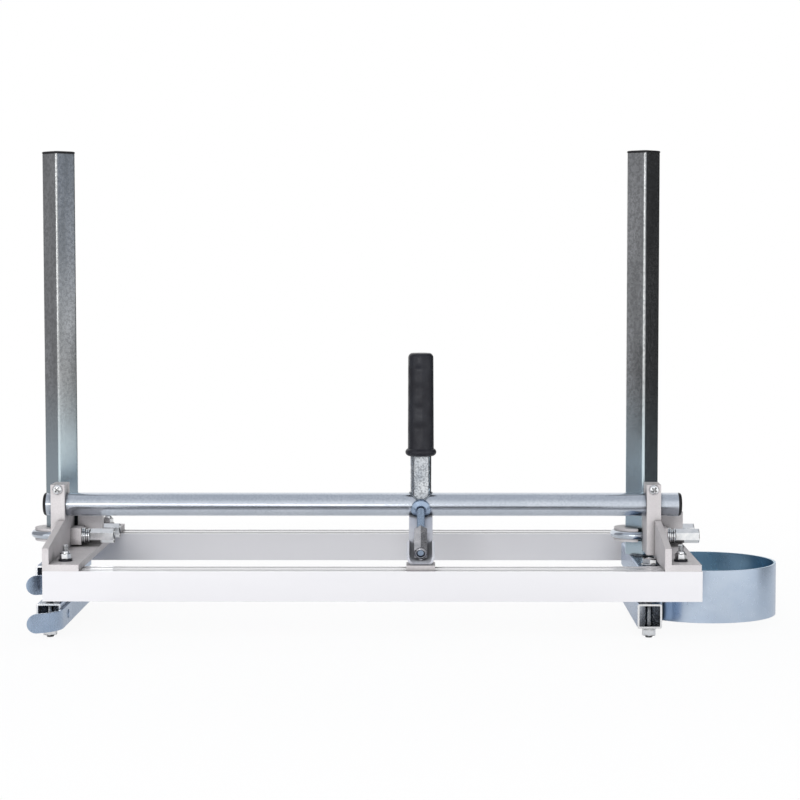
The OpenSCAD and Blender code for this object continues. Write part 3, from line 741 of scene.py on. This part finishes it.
def slot_head(at: Pair, length: float, half: float = 5.5,
              low: float = -6.1, high: float = -2.6) -> Patch:
    """The sliding head of a bolt in a rail's slot: a low block on a superellipse.

    Args:
        at: X and Y of its middle.
        length: along X.
        half: half its width along Y.
        low: Z of its sole.
        high: Z of its top.

    Returns:
        The patch.
    """
    turn = around(48)
    across = squarish(turn)[:, None] * circle(turn) * [length / 2, half]
    rows = [np.column_stack([across * size, np.full(len(turn), z)])
            for size, z in ((0.0, low), (1.0, low), (1.0, high), (0.0, high))]
    return net(np.array(rows)).moved(*at)


def linked(name: str, data: bpy.types.ID) -> bpy.types.Object:
    """Puts a new object into the scene.

    Args:
        name: the object's name.
        data: its mesh, lamp or camera.

    Returns:
        The object.
    """
    thing = bpy.data.objects.new(name, data)
    bpy.context.scene.collection.objects.link(thing)
    return thing


def make_piece(name: str, patch: Patch, finish: Material, body: str,
               replaces: tuple[str, ...] = (), sharp: float = 38.0) -> None:
    """Puts a patch into the scene as one piece of the mill.

    Args:
        name: the piece's name.
        patch: its surface.
        finish: its material.
        body: the body that it rides on.
        replaces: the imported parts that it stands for.
        sharp: edges sharper than this many degrees stay sharp.
    """
    mesh = bpy.data.meshes.new(name)
    mesh.from_pydata((patch.points - ORIGIN) * MM, [], patch.faces.tolist())
    solid = bmesh.new()
    solid.from_mesh(mesh)
    bmesh.ops.remove_doubles(solid, verts=solid.verts, dist=1e-6)
    bmesh.ops.dissolve_degenerate(solid, edges=solid.edges, dist=1e-7)
    bmesh.ops.recalc_face_normals(solid, faces=solid.faces)
    solid.to_mesh(mesh)
    solid.free()
    mesh.shade_smooth()
    mesh.set_sharp_from_angle(angle=math.radians(sharp))
    mesh.materials.append(finish)
    piece = linked(name, mesh)
    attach(piece, body)
    if replaces:
        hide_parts(*replaces)
    log.info("%s: %d faces on %s", name, len(mesh.polygons), body)


# Sub-assemblies


@dataclass
class Rails:
    """The two slotted rails."""

    finishes: Finishes

    def build(self) -> None:
        """Dresses both rails."""
        for node in ("front_rail", "rear_rail"):
            self.finishes.dress(node, self.finishes.rail)
        log.info("rails: dressed")


@dataclass
class PushBar:
    """Push tube, upright handle with its rubber grip, and the brace to the front rail."""

    finishes: Finishes
    tube_y: float = 115.0
    tube_z: float = 53.5
    tube_r: float = 12.0
    handle_x: float = 48.0
    handle_r: float = 11.0
    grip_foot: float = 104.0
    grip_len: float = 106.0
    grip_r: float = 13.25
    grip_in: float = 0.25
    grip_bore: float = 11.05
    grip_closed: float = 3.0
    grip_turn: float = 0.2
    taper: float = 0.45
    crown: float = 5.0
    crown_in: float = 4.2
    flange_r: float = 16.0
    bead_r: float = 3.75
    flat_in: float = 0.55
    groove_pitch: float = 20.5
    groove_depth: float = 1.0
    groove_top: float = 16.0
    groove_power: float = 1.4
    grooved: Pair = (14.0, 10.0)
    fading: Pair = (5.0, 6.0)
    ripples: int = 46
    ripple: float = 0.12
    brace_degrees: float = 19.866
    brace_run: float = 117.38
    brace_rise: float = 10.006
    foot_y: float = 27.5
    foot_t: float = 5.0
    channel_t: float = 2.5
    channel_half: float = 13.75
    strip_half: float = 12.0
    bend_r: float = 7.0
    bend_degrees: float = 75.0
    flange: float = 3.5
    flange_end: Pair = (-84.0, -60.0)
    nut_len: float = 48.0
    nut_start: float = -110.88
    stud_inset: float = 2.0
    stud_bite: float = 1.5

    def grip(self) -> Patch:
        """The rubber grip.

        Its radius is a slightly tapered tube with a bead at the foot and a rounded top. At the front
        it is cut back to a flat, and cosine grooves sink into that flat and fade out sideways. Flat and
        grooves leave a plain length at either end, and fade in and out beside it.

        Returns:
            The patch, with its bore closed at the top.
        """
        columns, top, bead_top = 72, self.grip_len, 2 * self.bead_r
        shoulder, least_facing = top - self.crown, 0.3
        height = np.concatenate([np.linspace(0.0, bead_top, 15),
                                 np.linspace(bead_top + 0.4, shoulder, 120),
                                 shoulder + self.crown * np.sin(np.linspace(0.05, math.pi / 2, 12))])
        height = height[:, None]
        tube = self.grip_r - self.grip_in + self.taper * (1 - height / top)
        dome = np.sqrt(np.clip(1 - ((height - shoulder) / self.crown).clip(0, 1) ** 2, 0, 1))
        tube = tube - self.crown_in * (1 - dome)
        from_bead = np.clip(self.bead_r ** 2 - (height - self.bead_r) ** 2, 0, None)
        bead = self.flange_r - self.bead_r + np.sqrt(from_bead)
        profile = np.where(height <= bead_top, np.maximum(bead, tube), tube)
        turn = around(columns)
        across, up, _ = axes_of(Z_AXIS)
        way = np.array([-math.sin(self.grip_turn), -math.cos(self.grip_turn), 0.0])
        facing = np.cos(turn) * (across @ way) + np.sin(turn) * (up @ way)
        radius = np.repeat(profile, columns, axis=1)
        low, high = (np.clip((way_in - plain) / fade, 0, 1) for way_in, plain, fade in
                     zip((height, top - height), self.grooved, self.fading))
        level = (self.grip_r - self.flat_in) / np.maximum(facing, least_facing)
        flat = np.where(facing > least_facing, level, np.inf)
        wave = 0.5 - 0.5 * np.cos(2 * math.pi * (top - self.groove_top - height) / self.groove_pitch)
        groove = self.groove_depth * (1 - wave) ** self.groove_power * np.clip(facing * 1.8 - 0.8, 0, 1)
        radius = radius + (np.minimum(radius, flat) - groove - radius) * low * high
        rows = np.vstack([np.full((1, columns), self.grip_bore), radius, np.zeros((1, columns))])
        height = np.vstack([height[:1], height, height[-1:]])
        at, end = (self.handle_x, self.tube_y, self.grip_foot), top - self.grip_closed
        bore = turned([(0.0, end), (self.grip_bore, end), (self.grip_bore, 0.0)], at, Z_AXIS, columns,
                      closed=False)
        return net(round_grid(rows, height, at, Z_AXIS)) + bore

    def handle_weld(self) -> Patch:
        """The weld round the handle's foot: a rippled bead on the curve where the two tubes meet.

        Returns:
            The patch, on the curve z = sqrt(tube radius^2 - y^2) at the handle's radius.
        """
        turn = around(160)
        outward = np.column_stack([circle(turn), 0 * turn])
        path = outward * self.handle_r
        path[:, 2] = np.sqrt(self.tube_r ** 2 - path[:, 1] ** 2)
        path += np.array([self.handle_x, self.tube_y, self.tube_z])
        swell = 1.0 + self.ripple * np.cos(self.ripples * turn)
        return carried(path, outward, Z_AXIS, circle(around(10)), swell, True)

    def brace_axis(self) -> tuple[Array, Array]:
        """Middle of the push tube at the brace, and the brace's direction up towards it."""
        angle = math.radians(self.brace_degrees)
        return (np.array([self.handle_x, self.tube_y, self.tube_z]),
                np.array([0.0, math.cos(angle), math.sin(angle)]))

    def channel(self) -> Patch:
        """The brace's bent sheet, from the foot to the push tube.

        Each row is the sheet's section at its own place: a flat, an arc of radius r that turns by phi on
        either side, and a straight flange. Where the flanges end, k falls from 1 to 0: phi and the flange
        shrink with k, and the half width falls from the channel's to the strip's.

        Returns:
            The patch, closed at both ends.
        """
        half_t, r, count = self.channel_t / 2, self.bend_r, 91
        low, high = self.flange_end
        place = np.concatenate([np.linspace(-self.brace_run, low - 2, 12),
                                np.linspace(low - 1, high + 1, 40),
                                np.linspace(high + 4, -self.tube_r, 12)])
        step = np.clip((place - low) / (high - low), 0.0, 1.0)
        k = (1 - step * step * (3 - 2 * step))[:, None]
        phi, flange = math.radians(self.bend_degrees) * k, self.flange * k
        half = self.strip_half + (self.channel_half - self.strip_half) * k
        flat = half - (half_t + r) * np.sin(phi) - flange * np.cos(phi)
        run = np.linspace(-1.0, 1.0, count) * (flat + r * phi + flange)
        turn = np.clip((np.abs(run) - flat) / r, 0.0, phi)
        beyond = np.clip(np.abs(run) - flat - r * phi, 0.0, None)
        x = np.sign(run) * (np.minimum(np.abs(run), flat) + r * np.sin(turn) + beyond * np.cos(phi))
        z = r * (1 - np.cos(turn)) + beyond * np.sin(phi) + half_t - self.brace_rise
        out_x, out_z = half_t * np.sin(turn) * np.sign(run), -half_t * np.cos(turn)
        x = np.hstack([x + out_x, (x - out_x)[:, ::-1]])
        z = np.hstack([z + out_z, (z - out_z)[:, ::-1]])
        y = np.repeat(place[:, None], x.shape[1], axis=1)
        y[-1] = -np.sqrt(self.tube_r ** 2 - z[-1] ** 2)
        middle, along = self.brace_axis()
        axes = np.array([X_AXIS, along, np.cross(X_AXIS, along)])
        points = middle + np.stack([x, y, z], -1) @ axes
        points[..., 2] = np.maximum(points[..., 2], self.foot_t)
        ends = [net(np.stack([row[:count], row[:count - 1:-1]]), loop_columns=False)
                for row in (points[0], points[-1])]
        return joined([net(points), *ends])

    def build(self) -> None:
        """Dresses the tubes and the brace, and makes the grip, weld, stud and long nut."""
        f = self.finishes
        for node, finish in (("push_tube", f.tube), ("handle_tube", f.handle), ("push_tube_caps", f.plastic),
                             ("brace_dome_washer", f.sheet), ("brace_foot", f.bracket)):
            f.dress(node, finish)
        middle, along = self.brace_axis()
        nut = M8.nut(tuple(middle + along * self.nut_start), tuple(along), self.nut_len)
        start = self.nut_start + self.stud_inset
        rod = M8.rod(tuple(middle + along * start), tuple(along), -start - self.tube_r + self.stud_bite)
        foot = (self.handle_x, self.foot_y)
        bolt = screw((*foot, self.foot_t), Z_AXIS, diameter=10.0, height=3.0, shank_r=3.0, depth=11.1)
        bolt = bolt + slot_head(foot, length=14.0)
        make_piece("grip_cover", self.grip(), f.of(f.rubber), "frame", ("handle_grip",), 60.0)
        for name, patch, finish, slot, replaces in (
                ("handle_weld", self.handle_weld(), f.weld, Slot.SHEET, ()),
                ("brace_channel_bent", self.channel(), f.pale, Slot.SHEET, ("brace_channel",)),
                ("brace_nut_turned", nut, f.dull, Slot.FASTENER, ("brace_long_nut",)),
                ("brace_stud_threaded", rod, f.sheet, Slot.SHEET, ("brace_stud",)),
                ("brace_screw", bolt, f.fastener, Slot.FASTENER, ("brace_foot_screw",))):
            make_piece(name, patch, f.of(finish), "frame", replaces)


@dataclass
class EndPart:
    """A sub-assembly of which each end of the mill has its own."""

    finishes: Finishes
    side: Side

    def name(self, word: str) -> str:
        """A part's name on this side."""
        return f"{self.side.word}_{word}"

    def fasten(self, word: str, patch: Patch, body: str) -> None:
        """Makes the bright turned piece that stands for a packed fastener of this side."""
        bright = self.finishes.of(self.finishes.fastener)
        make_piece(self.name(word + "_turned"), patch, bright, body, (self.name(word),))


@dataclass
class EndBracket(EndPart):
    """One end bracket: the angle with its post clamp, tube block and rail bolts."""

    leg: float = 22.0
    u_y: float = 165.5
    u_z: float = 17.0
    stack_x: float = 17.5
    nut_x: float = 26.0
    nut_len: float = 25.0
    clamp_x: float = -0.75
    clamp_y: float = 99.0
    clamp_z: float = 70.25
    bolt_x: float = 18.5
    bolt_ys: Pair = (27.5, 322.5)
    bolt_low: float = -4.0
    bolt_top: float = 23.0
    lock_t: float = 5.5
    lock_base: float = 8.6

    def legs(self) -> list[float]:
        """Y of the clamp bolt's two legs."""
        return [self.u_y - self.leg, self.u_y + self.leg]

    def washers(self) -> Patch:
        """The washers on both legs.

        Returns:
            Two flat washers, a spring washer and a small flat washer on each leg, from the saddle out.
        """
        stack = ((washer, 0.0, 9.0, 1.95), (washer, 2.0, 9.0, 1.95),
                 (spring_washer, 4.0, 7.3, 2.15), (washer, 6.2, 8.0, 2.25))
        x = self.side.face + self.stack_x
        return joined([kind((x + step, y, self.u_z), X_AXIS, outer, M8_HOLE, thick)
                       for y in self.legs() for kind, step, outer, thick in stack])

    def rail_bolts(self) -> Patch:
        """Both threaded studs with their heads in the slots."""
        x, length = self.side.face + self.bolt_x, self.bolt_top - self.bolt_low
        return joined([M6.rod((x, y, self.bolt_low), Z_AXIS, length) + slot_head((x, y), length=11.0)
                       for y in self.bolt_ys])

    def rail_nuts(self) -> Patch:
        """The lock nuts on the rail bolts.

        Returns:
            Two chamfered hexagons, each with a crimped collar on top.
        """
        collar = [(3.05, 5.3), (4.35, 5.3), (4.35, 6.6), (4.1, 7.4), (3.5, 8.0), (3.05, 8.0)]
        places = [(self.side.face + self.bolt_x, y, self.lock_base) for y in self.bolt_ys]
        return joined([M6.nut(at, Z_AXIS, self.lock_t) + turned(collar, at, Z_AXIS, 32) for at in places])

    def clamp_screw(self) -> Patch:
        """The screw that closes the tube block."""
        at = (self.side.face + self.clamp_x, self.clamp_y, self.clamp_z)
        return screw(at, TOWARDS_VIEWER, diameter=10.0, height=3.0, shank_r=2.5, depth=31.0)

    def build(self) -> None:
        """Dresses the bracket and makes its fasteners."""
        f = self.finishes
        for word in ("angle", "tube_block", "rear_cheek", "v_bar", "gusset", "saddle"):
            f.dress(self.name(word), f.bracket)
        f.dress(self.name("u_bolt"), f.tube)
        f.dress(self.name("rubber_washers"), f.rubber)
        for word, patch in (("washers", self.washers()), ("rail_bolts", self.rail_bolts()),
                            ("rail_nuts", self.rail_nuts()), ("clamp_screw", self.clamp_screw())):
            self.fasten(word, patch, self.name("bracket"))
        for word, y in zip(("front_nut", "rear_nut"), self.legs()):
            nut = M8.nut((self.side.face + self.nut_x, y, self.u_z), X_AXIS, self.nut_len)
            self.fasten(word, nut, self.name(word))


@dataclass
class PostAndJaws(EndPart):
    """One post with its cap, its two jaws and the bolts between them."""

    post_y: float = 165.5
    post_side: float = 25.0
    post_top: float = 417.0
    cap_side: float = 26.5
    cap_t: float = 2.5
    plug: float = 10.3
    plug_depth: float = 12.0
    jaw_top: float = -5.0
    jaw_sole: float = -69.0
    bolt_dy: float = 82.5
    bolt_end: float = -79.5
    washer_r: float = 8.0
    washer_t: float = 1.6
    head_t: float = 5.3
    nut_t: float = 6.5
    flats_turned: float = 30.0

    def cap(self) -> Patch:
        """The post's cap: a crowned square plate with rounded corners over a plug.

        Each row is a superellipse of its own half side, turned by 45 degrees as the post is.

        Returns:
            The patch.
        """
        half, top, low = self.cap_side / 2, self.cap_t, -self.plug_depth
        rows = np.array([(0.0, low), (self.plug - 0.3, low), (self.plug, low + 1.0), (self.plug, 0.0),
                         (half - 0.4, 0.0), (half, 0.4), (half, top - 1.3), (half - 0.35, top - 0.75),
                         (half - 1.1, top - 0.35), (half - 3.0, top - 0.12), (half - 7.0, top), (0.0, top)])
        radius = rows[:, :1] * squarish(around(96) + math.pi / 4)
        at = (self.side.post, self.post_y, self.post_top)
        return net(round_grid(radius, rows[:, 1:], at, Z_AXIS))

    def foot_welds(self) -> Patch:
        """The welds where the post stands on the jaw.

        A run goes from one side of the post over its front or rear edge to the other side:
        y = reach - |x|. Its size ripples, and falls towards both ends.

        Returns:
            One pair of runs in front and one behind.
        """
        steps, size, ripple, waves = 60, 1.7, 0.22, 2.6
        reach, half = self.post_side / math.sqrt(2), self.post_side / 2 - 0.6
        run = np.linspace(-half, half, steps)
        ending = np.sqrt(np.clip(1 - (run / (half + 0.4)) ** 8, 0.05, 1))
        swell = (size + ripple * np.cos(waves * run)) * ending
        made = []
        for way in (-1, 1):
            path = np.stack([self.side.post + run, self.post_y + way * (reach - np.abs(run)),
                             np.full(steps, self.jaw_top)], 1)
            outward = np.stack([np.sign(run), np.full(steps, way), np.zeros(steps)], 1) / math.sqrt(2)
            made.append(carried(path, outward, Z_AXIS, circle(around(10)), swell, False))
        return joined(made)

    def bolt_places(self) -> list[Pair]:
        """X and Y of the two jaw bolts."""
        return [(self.side.post, self.post_y + way * self.bolt_dy) for way in (-1, 1)]

    def jaw_washer(self, x: float, y: float, z: float) -> Patch:
        """A washer under a jaw bolt's head or nut, with a little air above it."""
        return washer((x, y, z), Z_AXIS, self.washer_r, M8_HOLE, self.washer_t - M8.play)

    def jaw_bolts(self) -> Patch:
        """The two jaw bolts.

        Returns:
            For each a washer, a chamfered head and a threaded shank down through the two jaws.
        """
        made, head_z = [], self.jaw_top + self.washer_t
        for x, y in self.bolt_places():
            made += [self.jaw_washer(x, y, self.jaw_top),
                     M8.head((x, y, head_z), Z_AXIS, self.head_t, self.flats_turned),
                     M8.rod((x, y, self.bolt_end), Z_AXIS, head_z + 0.2 - self.bolt_end)]
        return joined(made)

    def jaw_nuts(self) -> Patch:
        """The nuts under the lower jaw.

        Returns:
            For each bolt a washer and a nut.
        """
        made, seat = [], self.jaw_sole - self.washer_t
        for x, y in self.bolt_places():
            made += [self.jaw_washer(x, y, seat),
                     M8.nut((x, y, seat - self.nut_t), Z_AXIS, self.nut_t, self.flats_turned)]
        return joined(made)

    def build(self) -> None:
        """Dresses the post and jaws, and makes the cap, the welds, the bolts and the nuts."""
        f, post = self.finishes, self.name("post")
        f.dress(post, f.upright)
        f.dress(self.name("upper_jaw"), f.jaw)
        f.dress(self.name("lower_jaw"), f.jaw)
        make_piece(self.name("cap_moulded"), self.cap(), f.of(f.plastic), post,
                   (self.name("post_cap"),))
        make_piece(self.name("foot_welds"), self.foot_welds(), f.of(f.weld), post)
        self.fasten("jaw_bolts", self.jaw_bolts(), post)
        self.fasten("jaw_nuts", self.jaw_nuts(), self.name("jaw"))


@dataclass
class Skids:
    """The bent strips on the left jaws, with domed rivets."""

    finishes: Finishes
    head_x: float = -316.5
    rivet_ys: Pair = (105.0, 226.0)
    rivet_zs: Pair = (-20.25, -59.25)

    def build(self) -> None:
        """Dresses both strips and makes their rivets."""
        f = self.finishes
        for level, body, z in zip(("upper", "lower"), ("left_post", "left_jaw"), self.rivet_zs):
            f.dress(f"left_{level}_skid", f.sheet)
            rivets = joined([screw((self.head_x, y, z), X_AXIS, diameter=9.0, height=1.4, shank_r=2.5,
                                   depth=7.0, cross=False) for y in self.rivet_ys])
            node = f"left_{level}_rivets"
            make_piece(node + "_domed", rivets, f.of(f.sheet), body, (node,))


@dataclass
class NoseGuard:
    """The sheet ring round the nose of the guide bar, with its two screws."""

    finishes: Finishes
    head_x: float = 296.0
    screw_ys: Pair = (103.5, 227.5)
    screw_z: float = -21.25

    def build(self) -> None:
        """Dresses the ring and makes the screws."""
        f = self.finishes
        f.dress("nose_guard", f.guard)
        screws = joined([screw((self.head_x, y, self.screw_z), X_AXIS, diameter=10.0, height=3.0,
                               shank_r=2.5, depth=6.5) for y in self.screw_ys])
        make_piece("guard_screws_turned", screws, f.of(f.fastener), "right_post",
                   ("guard_screws",))


# Studio


def slab(name: str, corners: list[Triple], material: Material) -> bpy.types.Object:
    """A flat thing of the studio, in metres.

    Args:
        name: its name.
        corners: its four corners, in turn.
        material: its material.

    Returns:
        The object.
    """
    mesh = bpy.data.meshes.new(name)
    mesh.from_pydata(corners, [], [(0, 1, 2, 3)])
    mesh.materials.append(material)
    return linked(name, mesh)


@dataclass(frozen=True)
class Softbox:
    """An area lamp in metres, aimed at a point."""

    name: str
    place: Triple
    aim: Triple
    size: Pair
    watts: float
    seen: bool = True

    def build(self) -> None:
        """Adds the lamp."""
        lamp = bpy.data.lights.new(self.name, "AREA")
        lamp.shape = "RECTANGLE"
        lamp.size, lamp.size_y = self.size
        lamp.energy = self.watts
        holder = linked(self.name, lamp)
        away = Vector(self.place) - Vector(self.aim)
        turn = away.to_track_quat("Z", "Y").to_matrix().to_4x4()
        holder.matrix_world = Matrix.Translation(self.place) @ turn
        holder.visible_camera = False
        holder.visible_glossy = self.seen


@dataclass(frozen=True)
class Card:
    """A grey card that only reflections see, from one corner to the other, in metres."""

    name: str
    low: Triple
    high: Triple
    grey: float

    def build(self) -> None:
        """Adds the card as part of the studio."""
        low, high = np.array(self.low), np.array(self.high)
        flat = int(np.argmin(high - low))
        a, b = [i for i in range(3) if i != flat]
        corners = np.tile(low, (4, 1))
        corners[[1, 2], a] = high[a]
        corners[[2, 3], b] = high[b]
        g = Graph(bpy.data.materials.new(self.name))
        glow = g.add("Emission", {"Color": (self.grey, self.grey, self.grey * 1.05)}).outputs[0]
        g.add("OutputMaterial", {"Surface": glow})
        card = slab(self.name, corners.tolist(), g.owner)
        for ray in ("camera", "diffuse", "shadow", "transmission", "volume_scatter"):
            setattr(card, "visible_" + ray, False)


@dataclass
class Studio:
    """Floor, white surroundings, lamps, cards and the camera of the photograph."""

    camera_at: Triple = (0.0224, -2.2878, 0.3872)
    yaw: float = -0.635
    pitch: float = -3.739
    roll: float = -0.053
    lens: float = 97.83
    sensor: float = 36.0
    clip: Pair = (0.05, 60.0)
    horizon: Colour = (0.98, 0.985, 1.0)
    zenith: Colour = (0.6, 0.62, 0.66)
    sides: Colour = (0.29, 0.33, 0.4)
    sky_span: Pair = (0.25, 0.95)
    side_span: Pair = (0.87, 1.0)
    behind: float = 0.5
    soft: float = 0.27
    floor_reach: float = 12.0
    floor_colour: Colour = (0.86, 0.87, 0.89)
    floor_glow: float = 1.05
    white_near: float = 0.93
    white_mirrored: float = 0.45
    shadow_reach: Pair = (0.35, 1.2)
    lamps: tuple[Softbox, ...] = (
        Softbox("Front softbox", (-0.95, -3.2, 0.48), (-0.95, 0.0, 0.2), (1.7, 0.46), 8.0),
        Softbox("Front fill", (-0.96, -9.0, 3.6), (0.0, 0.0, 0.15), (4.2, 2.9), 610.0, seen=False),
        Softbox("Top softbox", (-0.3, -0.3, 2.6), (0.0, 0.0, 0.1), (2.4, 1.6), 4.0, seen=False),
    )
    cards: tuple[Card, ...] = (
        Card("Right flag", (0.8, -0.06, 0.0), (0.8001, 1.5, 1.6), 0.05),
        Card("Left flag", (-0.8001, -0.3, 0.0), (-0.8, 0.6, 1.6), 0.34),
        Card("Floor strip", (-0.33, -0.5, 0.0004), (0.235, -0.3, 0.0005), 0.08),
    )

    def floor(self) -> None:
        """A pale floor that the camera sees as a faint veil with the shadow in it.

        What lies under the floor shows through, as the posts do once they have slid down. In the metal
        the floor fades to white with its distance.
        """
        g = Graph(bpy.data.materials.new("Pale floor"))
        surface = g.add("BsdfDiffuse", {"Color": self.floor_colour}).outputs[0]
        white = g.add("Emission", {"Color": WHITE, "Strength": self.floor_glow}).outputs[0]
        clear = g.add("BsdfTransparent").outputs[0]
        ray = g.add("LightPath").outputs
        away = g.length(g.place())
        direct = g.math("MAXIMUM", ray["Is Camera Ray"], ray["Is Transmission Ray"])
        for kind, near, other in ((ray["Is Glossy Ray"], self.white_mirrored, white),
                                  (direct, self.white_near, clear)):
            share = g.math("MULTIPLY", kind, g.ramp(away, near, 1.0, *self.shadow_reach))
            surface = g.add("MixShader", {0: share, 1: surface, 2: other}).outputs[0]
        g.add("OutputMaterial", {"Surface": surface})
        r = self.floor_reach
        slab("Floor", [(-r, -r, 0.0), (r, -r, 0.0), (r, r, 0.0), (-r, r, 0.0)], g.owner)

    def surroundings(self) -> None:
        """White for the camera, and a room for the metal: pale in front and behind, grey at the sides."""
        world = bpy.data.worlds.new("Studio")
        bpy.context.scene.world = world
        g = Graph(world)
        way = g.parts(g.place("Generated"))
        sky = g.blend(g.ramp(way["Z"], 0.0, 1.0, *self.sky_span), self.horizon, self.zenith)
        sideways = g.ramp(g.math("ABSOLUTE", way["X"]), 0.0, 1.0, *self.side_span)
        room = g.blend(sideways, sky, self.sides)
        ray = g.add("LightPath").outputs
        dimmed = {"Value": ray["Is Diffuse Ray"], "To Min": 1.0, "To Max": self.soft}
        level = g.add("MapRange", dimmed).outputs[0]
        lit = g.add("Background", {"Color": room, "Strength": level}).outputs[0]
        seen = g.add("Background", {"Color": WHITE, "Strength": 1.0}).outputs[0]
        white = g.math("MULTIPLY", g.math("GREATER_THAN", way["Y"], self.behind), ray["Is Glossy Ray"])
        for kind in ("Is Camera Ray", "Is Transmission Ray"):
            white = g.math("MAXIMUM", white, ray[kind])
        g.add("OutputWorld", {"Surface": g.add("MixShader", {0: white, 1: lit, 2: seen}).outputs[0]})

    def camera(self) -> None:
        """The camera at the photograph's place and angle."""
        data = bpy.data.cameras.new("Camera")
        data.lens, data.sensor_width = self.lens, self.sensor
        data.clip_start, data.clip_end = self.clip
        camera = linked("Camera", data)
        turn = (Matrix.Rotation(math.radians(-self.yaw), 4, "Z")
                @ Matrix.Rotation(math.radians(90 + self.pitch), 4, "X")
                @ Matrix.Rotation(math.radians(self.roll), 4, "Z"))
        camera.matrix_world = Matrix.Translation(self.camera_at) @ turn
        bpy.context.scene.camera = camera

    def build(self) -> None:
        """Sets up the studio."""
        self.floor()
        self.surroundings()
        for thing in (*self.lamps, *self.cards):
            thing.build()
        self.camera()
        bpy.context.scene.view_settings.view_transform = "Standard"
        log.info("studio: %d lamps, %d cards", len(self.lamps), len(self.cards))


def clear_leftovers() -> None:
    """Removes what a new file holds: its cube, lamp and camera."""
    for thing in list(bpy.data.objects):
        if thing.name in ("Cube", "Light", "Camera"):
            bpy.data.objects.remove(thing)
    bpy.context.view_layer.update()


def main() -> None:
    """Builds the studio and the sub-assemblies."""
    logging.basicConfig(level=logging.INFO, format="%(name)s: %(message)s")
    clear_leftovers()
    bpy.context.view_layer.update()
    Studio().build()
    finishes = Finishes()
    Rails(finishes).build()
    PushBar(finishes).build()
    for side in Side:
        EndBracket(finishes, side).build()
        PostAndJaws(finishes, side).build()
    Skids(finishes).build()
    NoseGuard(finishes).build()


if __name__ == "__main__":
    main()
